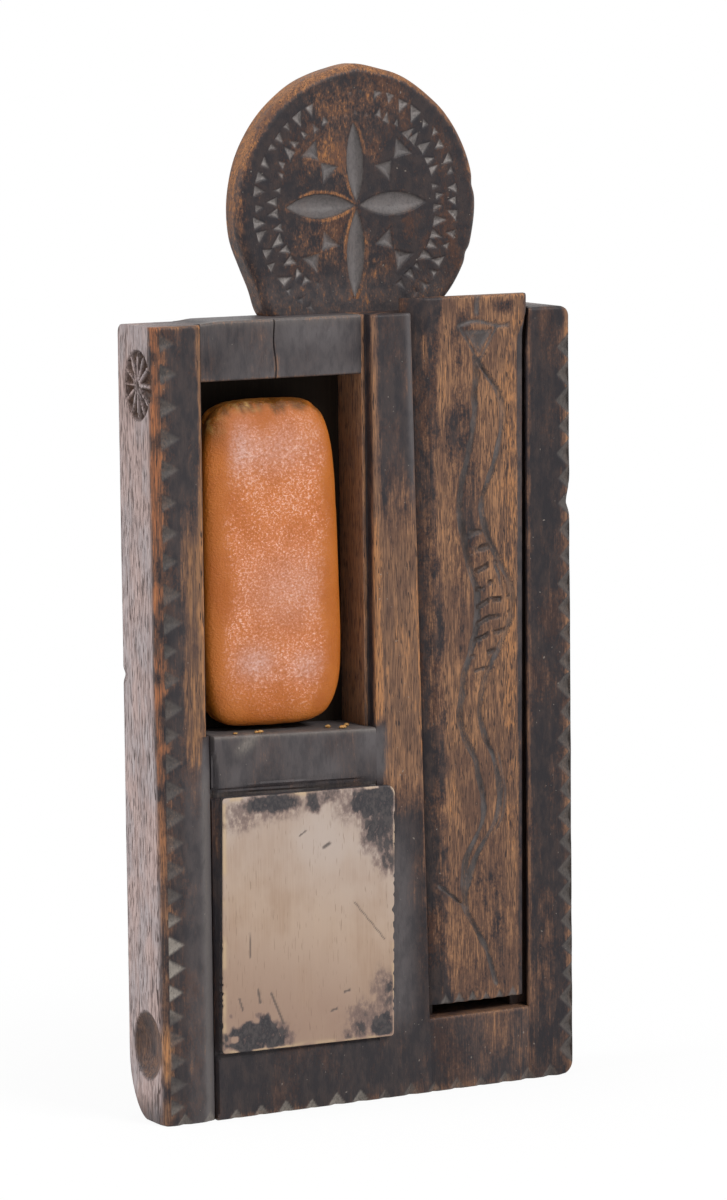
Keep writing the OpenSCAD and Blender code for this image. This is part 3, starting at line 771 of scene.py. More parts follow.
def side_strip(finish):
    """The full-height strip on the left, with chips along its front edge and two sunk marks in its bare
    side."""
    x, d, z = strip_shape()
    in_side = x - LEFT
    front = (d < 3.6) & (in_side > 0.4)
    chips = chip_row(z, in_side, LEFT_CHIPS, 1.4, 8.6, 4.9, 4.8)
    cut = np.where(front, np.maximum(chips, foot_cut(x, z)), 0)
    shift = foot_round(z) + end_round(STRIP_TOP - z, 1.0) + planed(x, z, 25)
    d = np.maximum(front_only(d, shift * ease(in_side, 0, 2)), cut)
    wheel, in_wheel, spokes = rosette(d, z)
    scoop, in_scoop = dish(d, z)
    side = ease(in_side, 3, 0.4)
    nick = 1.6 * near((d - 31) / 1.2, z - 188, 2.6)
    hollow = np.maximum(np.maximum(wheel, scoop) * side, nick)
    worn_in = 0.08 * (1 + noise(d / 7, z / 30, 26)) * side + 1.2 * end_round(z, 1.2) * side
    x = np.maximum(x + worn_in, LEFT + hollow)
    in_chip = ease(cut, 0.1, 0.5)
    marked = np.maximum(in_wheel, in_scoop) * side
    worn = strip_wear(x, d, z, in_side, in_chip) + 0.3 * marked
    bare = ease(in_side, 3.0, 1.4) * ease(d, 1.8, 4.2) * (1 - 0.9 * marked) * (0.25 + 0.75 * ease(z, 2, 14))
    bare = bare * (1 - 0.14 * ease(z, 200, 310))
    bare = np.where(d > DEPTH - 1.2, 0.6, bare) + spokes * in_wheel * side
    dust = in_chip * (0.22 + 0.9 * ease(np.abs(z - 68), 24, 14) + 0.25 * ease(z, 10, 6))
    # Painted sheen: a pale band along the rounded inner front edge below the sill, laid in the dust colour
    rounding_sheen = 0.3 * ease(z, 152, 142) * (0.6 + 0.6 * noise(z / 19, 1.5, 29))
    dust += rounding_sheen * near(x - SIDE_IN + 3.4, d - 0.6, 2.0)
    # The second term is painted sheen: a grey band on the same rounded edge below the sill
    dull = 0.15 * ease(in_side, 4, 9) + near(x - SIDE_IN + 2.6, d - 0.8, 3.2) * ease(z, 165, 155)
    dull += 0.3 * ease(in_side, 10, 15) * ease(z, 160, 140)
    # Painted shade in the wheel's recess between its spokes and on the dish's back and upper wall
    painted_shade = side * (1.2 * in_wheel * (1 - spokes) + 0.9 * in_scoop * ease(d + 0.5 * (z - 32), 12, 26))
    ruddy = near(in_side - 1.5, d - 0.8, 6.0) * ease(z, 60, 190)
    shell = Shell()
    shell.tube(x, d, z, worn=worn, bare=bare, dust=dust, dull=dull * ease(d, 5, 2), inner=painted_shade, ruddy=ruddy)
    return shell.piece("side_strip", "carcass", finish, ["left_side"])


def back_panel(finish):
    """The thin board behind both compartments, with shallow upright plane marks on both faces."""
    x = rows(back_low[0], back_high[0], 2.0)[None, :]
    z = rows(back_low[2], back_high[2], 3.0)[:, None]
    uneven = 0.6 + 0.4 * noise(x / 9, z / 60, 42)
    ripple = 0.12 + 0.12 * np.sin(x / 3.4 + 1.4 * noise(x / 40, z / 90, 41)) * uneven
    shell = Shell()
    # Painted shade: inner makes the face inside the compartments nearly black; the back face is left plain
    inside = shell.grid(x, BACK_D + ripple, z, inner=1.0)
    behind = shell.grid(x, BACK_D + BACK_THICK - ripple, z, inner=0.0)
    shell.bridge(border_of(inside), border_of(behind))
    return shell.piece("back_panel", "carcass", finish, ["back_board"])


def lid_corners(z):
    """The lid's section: a bevel on each side that runs under a lip. The right one has a worn shoulder, which
    fills out to a square ear at the top."""
    left, right = lip_left(z), lip_right(z)
    ear = float(np.clip((z - EAR_LOW) / (EAR_HIGH - EAR_LOW), 0, 1))
    return [(left + 7.8, LID_FACE_D, 2.0), (right - 6.6 + 5.4 * ear, LID_FACE_D, 1.0),
            (right - 2.8 + 2.2 * ear, LID_FACE_D + 1.0 + 0.4 * ear, 0.6), (right + 0.75, LID_BACK_D, 0.25),
            (left - 3.2, LID_BACK_D, 0.25)]


# Dark blots on the lid: strength, x, z, width and height
LID_BLOTS = [(0.9, 68, 337, 5.85, 3.6), (0.75, 48, 331, 4, 5.2), (0.6, 54, 339, 2.4, 6),
             (0.38, 46, 272, 9, 30.6), (0.34, 43, 285, 10.8, 12.6), (0.3, 44, 314, 4.5, 14.4),
             (0.34, 66, 70, 8.4, 14), (0.3, 42, 205, 7.2, 45), (0.3, 50, 235, 5.6, 16.8),
             (0.3, 58, 92, 9.9, 12.6)]


def lid_marks(x, d, z, cut, body, ribs):
    """The lid's face is rubbed bare, but for a ragged band on the left, the shoulder on the right, some blots
    and the cuts. The cuts are greyed by bloom and sheen, and painted shade darkens their deep bottoms, the
    bars and the bevels that run back under the lips."""
    low, high = lid_low[2], lid_high[2]
    into, from_right = x - lip_left(z - LID_OPEN), lip_right(z - LID_OPEN) - x
    band = np.interp(z, [38, 190, 262, 292, 342], [10.6, 12.2, 9.6, 11.4, 15.0])
    band = band + 1.4 * noise(x / 3, z / 11, 34) + 0.8 * noise(1, z / 3, 35)
    shoulder = 4.7 + 0.9 * ease(z, 120, 220) - 3.6 * ease(z, 322, 332)
    open_face = ease(into, band - 1.5, band + 1.7) * ease(from_right, shoulder - 0.8, shoulder + 0.6)
    fade = 0.74 - 0.22 * ease(z, 110, 60) - 0.09 * ease(z, 290, 320)
    fade = fade + 0.12 * ease(x, 56, 66) * ease(z, 130, 180)
    blots = spots(x, z, LID_BLOTS) + 0.16 * body * span(z, 165, 180, 280, 300)
    worn = (fade - blots) * open_face * (1 - 0.6 * ease(cut, 0.12, 0.6))
    worn += 0.55 * near((x - 29.3) / 0.6, (z - 320) / 3.0, 2.0) + 0.3 * near(high - z, 0, 1.5) * open_face
    rubbed = 0.25 - 0.21 * ease(z, 80, 45) - 0.14 * ease(z, 268, 300)
    worn += rubbed * ease(into, 2, 6) * (1 - open_face) * ease(from_right, 10, 14)
    worn += 0.32 * near(from_right - shoulder - 3.5, 0, 3.6)
    worn += 0.2 * near(into - band - 3.6, 0, 3.0) * ease(z, 105, 130)
    dust = (0.12 + 0.22 * ease(z, low + 8, low + 5)) * ease(cut, 0.12, 0.6)
    dull = ease(from_right, shoulder + 0.4, shoulder - 0.8) * ease(from_right, 1.0, 2.4)
    dull = dull * (0.08 + 0.32 * ease(z, 120, 220))
    barred = ease(ribs, 0.2, 0.7)
    dull += (0.5 + 0.45 * noise(x / 3, z / 6, 38)) * ease(cut, 0.25, 0.8) * (1 - 0.8 * barred)
    # Painted shade at the deep bottoms of the cuts, in the bars and on the bevels that run back under the
    # lips
    painted_shade = 0.6 * ease(d, 4, 7) + 0.5 * ease(cut, 0.9, 1.7) + 0.9 * barred
    return {"worn": worn, "dust": dust, "dull": dull, "inner": painted_shade}


def sliding_lid(finish):
    """The lid: its section carried up the grain between the leaning lips, with the carving sunk in."""
    low, high = lid_low[2], lid_high[2]
    levels = [(z + LID_OPEN, lid_corners(z)) for z in (low - LID_OPEN, EAR_LOW, EAR_HIGH, high - LID_OPEN)]
    heights = rows(low, high, 0.62, high - 0.2, low + 0.2)
    x, d, z = loft(levels, [84, 8, 5, 10, 14], heights)
    front = np.clip(1 - (d - LID_FACE_D) / 2.5, 0, 1)
    cut, body, ribs = lid_carving(x, z)
    cut = cut * ease(d, LID_FACE_D + 2.2, LID_FACE_D + 0.6)
    dished = 0.5 * ease(np.abs(x - 56), 24, 6) * ease(np.abs(z - 190), 150, 60)
    shift = end_round(high - z, 1.1) + end_round(z - low, 0.9) + planed(x, z, 33, 0.35) + dished
    d = d + front * (shift + cut)
    shell = Shell()
    shell.tube(x, d, z, **lid_marks(x, d, z, cut, body, ribs))
    return shell.piece("lid", "lid", finish, ["sliding_lid"])


# Stains on the rubbing board, from its middle: x, z, half width, half height, softness and strength
BOARD_STAINS = [
    (-20, 51.2, 12.5, 4.2, 0.45, 1.0), (-33, 46.5, 8, 6, 0.8, 0.42), (-16, 47, 12, 4, 0.8, 0.34),
    (1.2, 50.4, 3.6, 4.6, 0.45, 0.95), (9, 51.5, 6.0, 3.0, 0.7, 0.7), (32, 48, 11, 8.5, 0.4, 1.0),
    (34, 37, 8.5, 9, 0.6, 0.95), (37, 26, 5.0, 9, 0.7, 0.8), (24, 48, 11, 7, 0.8, 0.42),
    (-27.0, -47.6, 13.6, 7.4, 0.16, 1.0), (-16, -49, 7, 5, 0.7, 0.8), (35.2, -49.4, 4.6, 5.6, 0.3, 1.0),
    (24.5, -49.6, 4.0, 4.0, 0.7, 0.85), (19, -51.5, 3.0, 2.4, 0.7, 0.7), (37, -38, 6.0, 12, 0.9, 0.6),
    (28, -46, 9, 7, 0.9, 0.5), (39.4, -32.5, 2.2, 2.4, 0.4, 0.9)]

# Scratches on it: x and z of both ends, and half width
BOARD_SCRATCHES = [
    (-18.2, -30.2, -12.4, -43.6, 0.5), (-24.4, -28.2, -23.4, -33.8, 0.5), (-33.4, -31.2, -31.6, -36.6, 0.4),
    (-28.4, -3.4, -28.0, -14, 0.3), (22.0, 4.9, 36.2, -11.8, 0.25), (17, -33, 19.6, -32.4, 0.5),
    (10.6, -40.6, 13.4, -39.8, 0.45), (-4.6, 35.8, -1.8, 37.6, 0.35), (7.0, 30.0, 9.6, 31.4, 0.8)]


def patch(lx, lz, cx, cz, wide, tall, soft, seed):
    """A stain: 1 inside an oval, with a border torn by noise that fades over the share `soft` of its size."""
    torn = 0.34 * noise(lx / 4.2, lz / 4.2, seed) + 0.12 * noise(lx / 1.4, lz / 1.6, seed + 1)
    return ease(rounded((lx - cx) / wide, (lz - cz) / tall, 3) + torn, 1 + soft, 1 - soft)


def stroke(lx, lz, x0, z0, x1, z1, half):
    """A scratch: 1 on the line from one end to the other and 0 beyond its half width."""
    run = np.array([x1 - x0, z1 - z0])
    t = np.clip(((lx - x0) * run[0] + (lz - z0) * run[1]) / (run @ run), 0, 1)
    return ease(np.hypot(lx - x0 - t * run[0], lz - z0 - t * run[1]), half * 1.25, half * 0.5)


def board_grid():
    """The rubbing board's face seen from the front: a grid with its corners pressed round and its edges
    nibbled. Returns places from its middle and the distance inside its edge."""
    ends = np.array([0.2, 0.45, 0.8])
    lx = rows(-BOARD_HALF_W, BOARD_HALF_W, 0.62, -BOARD_HALF_W + ends, BOARD_HALF_W - ends)[None, :]
    lz = rows(-BOARD_HALF_H, BOARD_HALF_H, 0.62, -BOARD_HALF_H + ends, BOARD_HALF_H - ends)[:, None]
    lx, lz = np.broadcast_arrays(lx, lz)
    corner = np.where((lx > 0) & (lz > 0), 4.0, 1.6)
    u = np.clip((np.abs(lx) - BOARD_HALF_W + corner) / corner, 0, 1)
    v = np.clip((np.abs(lz) - BOARD_HALF_H + corner) / corner, 0, 1)
    in_corner = (u > 0) & (v > 0)
    round_u, round_v = pressed_round(u, v)
    from_edge = np.minimum(BOARD_HALF_W - np.abs(lx), BOARD_HALF_H - np.abs(lz))
    inside = np.where(in_corner, corner * (1 - np.hypot(round_u, round_v)), from_edge)
    lx = np.sign(lx) * np.where(in_corner, BOARD_HALF_W - corner + corner * round_u, np.abs(lx))
    lz = np.sign(lz) * np.where(in_corner, BOARD_HALF_H - corner + corner * round_v, np.abs(lz))
    nibble = np.clip(noise(lx / 1.7, lz / 1.7, 51) - 0.25, 0, None) * ease(lx, 40, 41) * 1.25
    low_left = ease(lx, -40, -41) * ease(lz, 10, -30)
    nibble += np.clip(noise(lx / 1.3, lz / 1.3, 52) - 0.1, 0, None) * low_left * 0.9
    nibble += 1.2 * near(lx - BOARD_HALF_W, (lz - 0.6) / 0.8, 1.6)
    return lx - np.sign(lx) * nibble * ease(inside, 2.0, 0), lz, inside


def board_stain(lx, lz, inside):
    """The stain left on the rubbing board: the strongest of its patches, worn off along the lower right edges
    and chipped away at one place."""
    stain = np.zeros_like(lx)
    for number, (*oval, strength) in enumerate(BOARD_STAINS):
        stain = np.maximum(stain, strength * patch(lx, lz, *oval, 60 + 3 * number))
    clean = ease(noise(lx / 6, lz / 6, 55) + 0.8 * lx / BOARD_HALF_W - 0.5 * lz / BOARD_HALF_H, -0.3, 0.4)
    chipped = patch(lx, lz, -35.5, -48.6, 1.6, 1.3, 0.3, 120)
    return stain * (1 - clean * ease(inside, 1.3, 0.4)) * (1 - chipped)


def rubbing_board(finish):
    """The pale board: its face with a worn edge and a rubbed hollow, carried straight back into the plank.
    The stain and the scratches are marks that sink in a little."""
    lx, lz, inside = board_grid()
    x, z = board_world(lx, lz)
    stain = board_stain(lx, lz, inside)
    scratch = np.maximum.reduce([stroke(lx, lz, *line) for line in BOARD_SCRATCHES])
    hollow = 0.55 * ease(np.hypot(lx / 44, lz / 58), 1.0, 0.35)
    d = -BOARD_PROUD + end_round(inside, 0.6) + hollow + 0.3 * scratch + 0.12 * stain
    d = d + 0.1 * (1 + noise(lx / 2.4, lz / 26, 53))
    rim = near(inside - 0.5, 0, 1.1) * ease(noise(lx / 5, lz / 5, 54), -0.3, 0.4) * (0.75 + 0.25 * (lx < 0))
    shell = Shell()
    rings = [dropped(depth, stain=1.0, rim=0.0) for depth in (-1.5, 0.5, BOARD_SUNK)]
    shell.slab(x, d, z, rings, stain=stain, scratch=scratch, rim=rim, tan=(45 - lz - 0.3 * lx) / 100)
    return shell.piece("rubbing_pad", "carcass", finish, ["rubbing_board"])


# Whitest spots on the block: strength, x, z, width and height
BLOCK_PALE = [(1.0, -52, 192, 9.9, 7.2), (0.8, -26, 189, 9.6, 6.4), (0.8, -60, 284, 7.2, 10.8),
              (0.5, -34, 222, 22, 16), (0.6, -42, 283, 23.4, 10.8)]


def block_shape(centre, half):
    """A flat pillow. Its outline is a rounded rectangle of power 5, drawn in at the upper right, and its
    thickness falls off to the outline by a power of 4.4. Returns x, depth, z and the level, from 1 on the
    face to -1 on the back."""
    turn = np.linspace(0, 2 * math.pi, 260, endpoint=False)[None, :]
    tilt = np.linspace(0.004, math.pi - 0.004, 76)[:, None]
    out = half[0] / rounded(np.cos(turn), np.sin(turn) * half[0] / half[2], 5.0)
    sink = 1 / rounded(np.cos(tilt), np.sin(tilt), 4.4)
    level, share = np.cos(tilt) * sink, np.sin(tilt) * sink
    x, z = out * np.cos(turn) * share, out * np.sin(turn) * share
    narrowed = 3.2 * np.clip((z + 46) / 112, 0, 1) * ease(x, -10, 30)
    lumps = 0.12 * noise(x / 14, z / 16 + 4 * level, 71) + 0.08 * noise(x / 5, z / 5 + 2 * level, 72)
    bitten = 1.1 * np.clip(noise(x / 3.2, level * 4 + 7, 73), 0, None) * ease(z, 61, 68)
    size = 1 - (0.2 + lumps) / half[0] * share
    d = centre[1] - FRONT - level * (half[1] - 0.35) + 0.25 * noise(x / 16, z / 20, 74) * np.abs(level)
    return centre[0] + x * size - narrowed, d, centre[2] + z * size - bitten, level


def block(finish):
    """The loose block: its pillow, with powder on the face, a crumbly crust along the top and flakes."""
    centre, half = (block_low + block_high) / 2, (block_high - block_low) / 2
    x, d, z, level = block_shape(centre, half)
    bloom_w, bloom_h = 24.5, 68
    spread = rounded((x - centre[0]) / bloom_w, (z - centre[2]) / bloom_h, 4)
    bloom = ease(spread + 0.12 * noise(x / 9, z / 14, 78), 1.10, 0.70) * ease(level, 0.3, 0.9)
    ragged = 3.2 * noise(x / 2.2, level * 3, 75) + 1.6 * noise(x / 0.9, level * 5, 76)
    crust = ease(z + ragged, centre[2] + 62.5, centre[2] + 66.5) * ease(level, 0.95, 0.8)
    corner = spots(x, z, [(0.8, block_low[0] + 5, centre[2] + 59, 5.6, 7.2)])
    crust += corner * ease(level + 0.1 * ragged, 0.97, 0.75)
    flakes = [(1, block_low[0] + 4, centre[2] + 60.5, 3.9, 3.9), (1, -52, centre[2] + 66.5, 6.6, 1.98)]
    flake = spots(x, z, flakes) * ease(level, 0.98, 0.85)
    flake *= ease(noise(x / 1.2, z / 1.2 + 9 * level, 77), -0.1, 0.3)
    shell = Shell()
    shell.tube(x, d, z, bloom=bloom, pale=spots(x, z, BLOCK_PALE) * bloom, crust=crust, flake=flake,
               side=ease(level, 0.8, 0.3))
    return shell.piece("loose_block", "block", finish, ["scouring_block"], crease=60)


# Crumbs on the sill: x and depth
CRUMB_PLACES = [(-62.5, 2.3), (-52.6, 2.2), (-50.6, 2.5), (-16.5, 6.0), (-11.8, 2.6), (-10.4, 3.0),
                (-6.5, 8.0)]


def crumbs(finish):
    """A few crumbs of the block on the sill: small lumpy balls, flattened to lie under its lower edge."""
    rng = np.random.default_rng(81)
    turn = np.linspace(0, 2 * math.pi, 12, endpoint=False)[None, :]
    tilt = np.linspace(0.15, math.pi - 0.15, 7)[:, None]
    shell = Shell()
    for x0, d0 in CRUMB_PLACES:
        sill = sill_z(np.array(x0))
        tall = min(block_low[2] - sill - 0.12, 1.5) / 2
        wide = rng.uniform(0.7, 1.5)
        lump = 1 + 0.25 * noise(turn * 1.7 + x0, tilt * 2, 82)
        x = x0 + wide * lump * np.sin(tilt) * np.cos(turn)
        d = d0 + 0.7 * wide * lump * np.sin(tilt) * np.sin(turn)
        shell.tube(x, d, sill + tall * (1 + np.cos(tilt)) * 0.98, flake=1.0)
    return shell.piece("sill_crumbs", "carcass", finish)


# Finishes

class Value:
    """A socket of one finish; arithmetic on it adds Math nodes."""

    def __init__(self, finish, socket):
        self.finish, self.socket = finish, socket

    def _math(self, operation, one, two):
        return self.finish.node("ShaderNodeMath", {"operation": operation}, {0: one, 1: two})

    def __add__(self, other):
        return self._math("ADD", self, other)

    def __sub__(self, other):
        return self._math("SUBTRACT", self, other)

    def __rsub__(self, other):
        return self._math("SUBTRACT", other, self)

    def __mul__(self, other):
        return self._math("MULTIPLY", self, other)

    __radd__ = __add__
    __rmul__ = __mul__

    def ramp(self, low, high, to_low=0.0, to_high=1.0):
        """A smooth step from to_low at low to to_high at high."""
        return self.finish.node("ShaderNodeMapRange", {"interpolation_type": "SMOOTHSTEP"},
                                {"Value": self, 1: low, 2: high, 3: to_low, 4: to_high})

    def clip(self):
        """The value held between 0 and 1."""
        return self.finish.node("ShaderNodeClamp", {}, {"Value": self})


class Finish:
    """The nodes of one material, or of the world."""

    def __init__(self, owner):
        self.owner = owner
        owner.use_nodes = True
        self.tree = owner.node_tree
        self.tree.nodes.clear()

    def node(self, kind, settings, inputs, output=0):
        """Adds a node of that kind: its settings first, then a value or a link for each named socket. Returns
        one of its outputs, if it has any."""
        made = self.tree.nodes.new(kind)
        for key, value in settings.items():
            setattr(made, key, value)
        for key, value in inputs.items():
            socket = made.inputs[key]
            if isinstance(value, Value):
                self.tree.links.new(value.socket, socket)
            else:
                is_colour = socket.type == "RGBA" and len(value) == 3
                socket.default_value = (*value, 1.0) if is_colour else value
        return Value(self, made.outputs[output]) if made.outputs else None

    @functools.cached_property
    def place(self):
        """Object coordinates."""
        return self.node("ShaderNodeTexCoord", {}, {}, "Object")

    def mark(self, name):
        """A mark of the points, by its name."""
        return self.node("ShaderNodeAttribute", {"attribute_name": name}, {}, "Fac")

    def marks(self, names):
        """Several marks, from their names in one text."""
        return [self.mark(name) for name in names.split()]

    def noise(self, size, detail=3.0, rough=0.55, seed=0.0):
        """Noise whose features are about `size` millimetres along x, depth and z."""
        scale = tuple(1 / (MM * s) for s in size)
        moved = self.node("ShaderNodeVectorMath", {"operation": "MULTIPLY_ADD"},
                          {0: self.place, 1: scale, 2: (seed, seed * 1.7, seed * 0.6)})
        inputs = {"Vector": moved, "Scale": 1.0, "Detail": detail, "Roughness": rough}
        return self.node("ShaderNodeTexNoise", {}, inputs)

    def layers(self, colour, *over):
        """A colour with others laid over it, each given as its share and its colour."""
        for share, top in over:
            colour = self.node("ShaderNodeMix", {"data_type": "RGBA"}, {0: share, 6: colour, 7: top}, 2)
        return colour

    def bump(self, height, distance, strength):
        """A normal bent by a height, which stands for that distance in millimetres."""
        inputs = {"Height": height, "Distance": distance * MM, "Strength": strength}
        return self.node("ShaderNodeBump", {}, inputs)

    def seen(self):
        """1 for what is seen straight, in a reflection or through something clear, and 0 for other light."""
        camera_ray, glossy, clear = (self.node("ShaderNodeLightPath", {}, {}, "Is %s Ray" % kind)
                                     for kind in ("Camera", "Glossy", "Transmission"))
        return (camera_ray + glossy + clear).clip()

    def done(self, colour, roughness, normal, **fixed):
        """Closes the finish with one shader; fixed holds sockets that are the same all over."""
        inputs = {"Base Color": colour, "Roughness": roughness, "Normal": normal}
        inputs.update({key.replace("_", " "): value for key, value in fixed.items()})
        return self.close(self.node("ShaderNodeBsdfPrincipled", {}, inputs))

    def close(self, shader, kind="ShaderNodeOutputMaterial"):
        """Links a shader to an output of that kind, and returns the material or the world."""
        self.node(kind, {}, {"Surface": shader})
        return self.owner


# Colours of the stained wood, among them the grey of its bloom and painted sheen and the dark brown of its
# painted shade
STAIN_DEEP, STAIN_WARM, STAIN_RED = (0.018, 0.015, 0.018), (0.052, 0.035, 0.031), (0.085, 0.035, 0.019)
BLOOM_AND_SHEEN_GREY, STAIN_THIN = (0.104, 0.093, 0.095), (0.112, 0.057, 0.038)
WORN_BROWN, WORN_ORANGE, WORN_PALE = (0.165, 0.090, 0.056), (0.315, 0.162, 0.085), (0.44, 0.20, 0.080)
WORN_RUDDY, WORN_FIBRE = (0.33, 0.122, 0.052), (0.075, 0.042, 0.031)
SIDE_GREY, SIDE_PINK, PORE = (0.40, 0.346, 0.348), (0.475, 0.360, 0.336), (0.075, 0.050, 0.045)
SIDE_FIBRE, SIDE_STREAK = (0.21, 0.135, 0.12), (0.19, 0.125, 0.11)
CUT_DUST, SPECK, PAINTED_SHADE_TONE = (0.26, 0.23, 0.20), (0.30, 0.26, 0.22), (0.028, 0.012, 0.006)

# Colours of the rubbing board
BOARD_TAN, BOARD_PALE, BOARD_GRAIN = (0.365, 0.250, 0.178), (0.44, 0.325, 0.248), (0.46, 0.340, 0.255)
BOARD_AIRY, BOARD_LOW, BOARD_CHECK = (0.47, 0.390, 0.345), (0.302, 0.195, 0.144), (0.20, 0.13, 0.09)
BOARD_RIM, BOARD_SMUDGE, BOARD_SCRATCH = (0.53, 0.385, 0.235), (0.155, 0.105, 0.095), (0.085, 0.07, 0.065)
CHAR_DEEP, CHAR_WORN = (0.024, 0.023, 0.028), (0.066, 0.056, 0.055)

# Colours of the block, and of the painted shade inside the compartments
BRICK_DEEP, BRICK_BRIGHT, BRICK_SIDE = (0.42, 0.112, 0.013), (0.48, 0.140, 0.020), (0.44, 0.135, 0.015)
BRICK_POWDER, BRICK_DOT_AND_GLINT, BRICK_PALE = (0.70, 0.225, 0.085), (0.90, 0.62, 0.52), (0.64, 0.44, 0.41)
CRUST_DARK, CRUST_TAN, FLAKE_TAN = (0.15, 0.050, 0.008), (0.36, 0.16, 0.02), (0.50, 0.28, 0.09)
INSIDE_PAINTED_SHADE = (0.009, 0.006, 0.004)


def stained_wood(name, seed, brown=WORN_BROWN, orange=WORN_ORANGE, run=1.0, soft=0.30, red=0.7, warm=0.8,
                 fine=0.5, dark=0.65, powder=CUT_DUST, hold=0.04):
    """Old dark stain over brown wood. The stain thins to red-brown and is rubbed off where worn is high,
    along ragged streaks that follow the grain for the share `run` of its usual length, and `hold` is how
    well it sticks. Bare shows dry grey wood with open pores and small upright checks."""
    f = Finish(bpy.data.materials.new(name))
    worn, dust, dull, bare, inner, ruddy = f.marks("worn dust dull bare inner ruddy")
    streak = f.noise((1.6, 1.6, 40 * run), 4.0, 0.6, seed)
    fibre = f.noise((0.5, 0.5, 1 + 9 * run), 3.0, 0.62, seed + 3)
    cloud = f.noise((13, 13, 28), 3.0, 0.55, seed + 5)
    blotch = f.noise((4.0, 4.0, 4 + 5 * run), 4.0, 0.62, seed + 13)
    fleck = f.noise((0.9, 0.9, 1.4), 3.0, 0.6, seed + 7)
    pore = f.noise((0.5, 0.5, 1 + 5 * run), 1.0, 0.5, seed + 9)
    check = f.noise((1.0, 1.0, 12 * run), 2.0, 0.55, seed + 15)
    speck = f.noise((1.3, 1.3, 1.3), 0.0, 0.5, seed + 11)
    ragged = (streak - 0.5) * 0.8 + (fibre - 0.5) * 0.8 + (blotch - 0.5) * 0.9 + (fleck - 0.5) * fine
    rubbed = worn + ragged + (cloud - 0.5) * 0.8 - hold
    gone = rubbed.ramp(0.51 - soft, 0.51 + soft)
    stain = f.layers(STAIN_DEEP,
                     (blotch.ramp(0.36, 0.64, 0.0, warm), STAIN_WARM),
                     ((cloud + (fleck - 0.5) * 0.6).ramp(0.50, 0.72, 0.0, red), STAIN_RED),
                     (rubbed.ramp(0.02, 0.52, 0.0, 0.9), STAIN_THIN),
                     # Grey bloom over the stain, which also carries painted sheen and highlights on rounded
                     # edges
                     ((dull * blotch.ramp(0.3, 0.6, 0.65, 1.0)).clip(), BLOOM_AND_SHEEN_GREY))
    wood = f.layers(brown,
                    ((streak * 0.5 + cloud * 0.5).ramp(0.38, 0.62), orange),
                    (ruddy.clip(), WORN_RUDDY),
                    (rubbed.ramp(0.85, 1.3, 0.0, 0.8), WORN_PALE),
                    (fibre.ramp(0.58, 0.40, 0.0, dark), WORN_FIBRE),
                    (pore.ramp(0.40, 0.33, 0.0, 0.85), STAIN_DEEP))
    dry = f.layers(SIDE_GREY,
                   (cloud.ramp(0.38, 0.62), SIDE_PINK),
                   (fibre.ramp(0.56, 0.36, 0.0, 0.55), SIDE_FIBRE),
                   (streak.ramp(0.50, 0.32, 0.0, 0.6), SIDE_STREAK),
                   (pore.ramp(0.40, 0.33, 0.0, 0.9), PORE),
                   (check.ramp(0.43, 0.35, 0.0, 0.9), PORE))
    colour = f.layers(stain,
                      (gone, wood),
                      (bare.clip(), dry),
                      ((dust * fleck.ramp(0.3, 0.62, 0.55, 1.0)).clip(), powder),
                      (speck.ramp(0.85, 0.90, 0.0, 0.6), SPECK),
                      # Painted shade where inner is high: recesses, deep cuts, channels and undersides
                      (inner * 0.55, PAINTED_SHADE_TONE))
    pits = pore.ramp(0.40, 0.32) * (0.3 + bare * 0.9)
    height = fibre * 0.5 + streak * 0.3 - pits + fleck * 0.25 + blotch * 0.4
    rough = gone * 0.12 + bare * 0.14 + fleck * 0.12 + 0.42
    return f.done(colour, rough.clip(), f.bump(height, 0.36, 0.7), Specular_IOR_Level=0.25)


def scoured_wood(name):
    """Pale scoured wood: fine upright grain, airier at the upper right and browner at the lower left, with a
    yellower rim, charcoal stain in the corners and dark scratches."""
    f = Finish(bpy.data.materials.new(name))
    stain, scratch, rim, tan = f.marks("stain scratch rim tan")
    fibre = f.noise((0.6, 0.6, 22), 3.0, 0.6, 2)
    cloud = f.noise((18, 18, 26), 3.0, 0.5, 6)
    fleck = f.noise((1.0, 1.0, 1.6), 2.0, 0.5, 9)
    check = f.noise((0.55, 0.55, 7.0), 1.0, 0.5, 12)
    scuff = f.noise((2.2, 2.2, 3.6), 5.0, 0.68, 18)
    unsure = stain * (1.0 - stain) * 4.0
    smudge = stain * scuff.ramp(0.25, 0.6, 0.62, 1.1) + (scuff - 0.5) * unsure * 1.2
    dirty = smudge.ramp(0.42, 0.92)
    char = f.layers(CHAR_DEEP, (scuff.ramp(0.4, 0.62), CHAR_WORN))
    colour = f.layers(BOARD_TAN,
                      (cloud.ramp(0.35, 0.65), BOARD_PALE),
                      (fibre.ramp(0.35, 0.65, 0.0, 0.45), BOARD_GRAIN),
                      (tan.ramp(0.05, 0.50, 1.0, 0.0) * cloud.ramp(0.3, 0.7, 0.4, 0.8), BOARD_AIRY),
                      (tan.ramp(0.40, 0.95) * cloud.ramp(0.3, 0.7, 0.5, 0.9), BOARD_LOW),
                      (check.ramp(0.34, 0.27, 0.0, 0.5), BOARD_CHECK),
                      (rim * 0.75, BOARD_RIM),
                      (smudge.ramp(0.0, 0.5, 0.0, 0.8), BOARD_SMUDGE),
                      (dirty, char),
                      (scratch * 0.85, BOARD_SCRATCH))
    height = fibre * 0.6 + fleck * 0.25 - scratch * 0.5
    rough = 0.62 - dirty * 0.1 + fleck * 0.08
    return f.done(colour, rough, f.bump(height, 0.18, 0.5), Specular_IOR_Level=0.35)


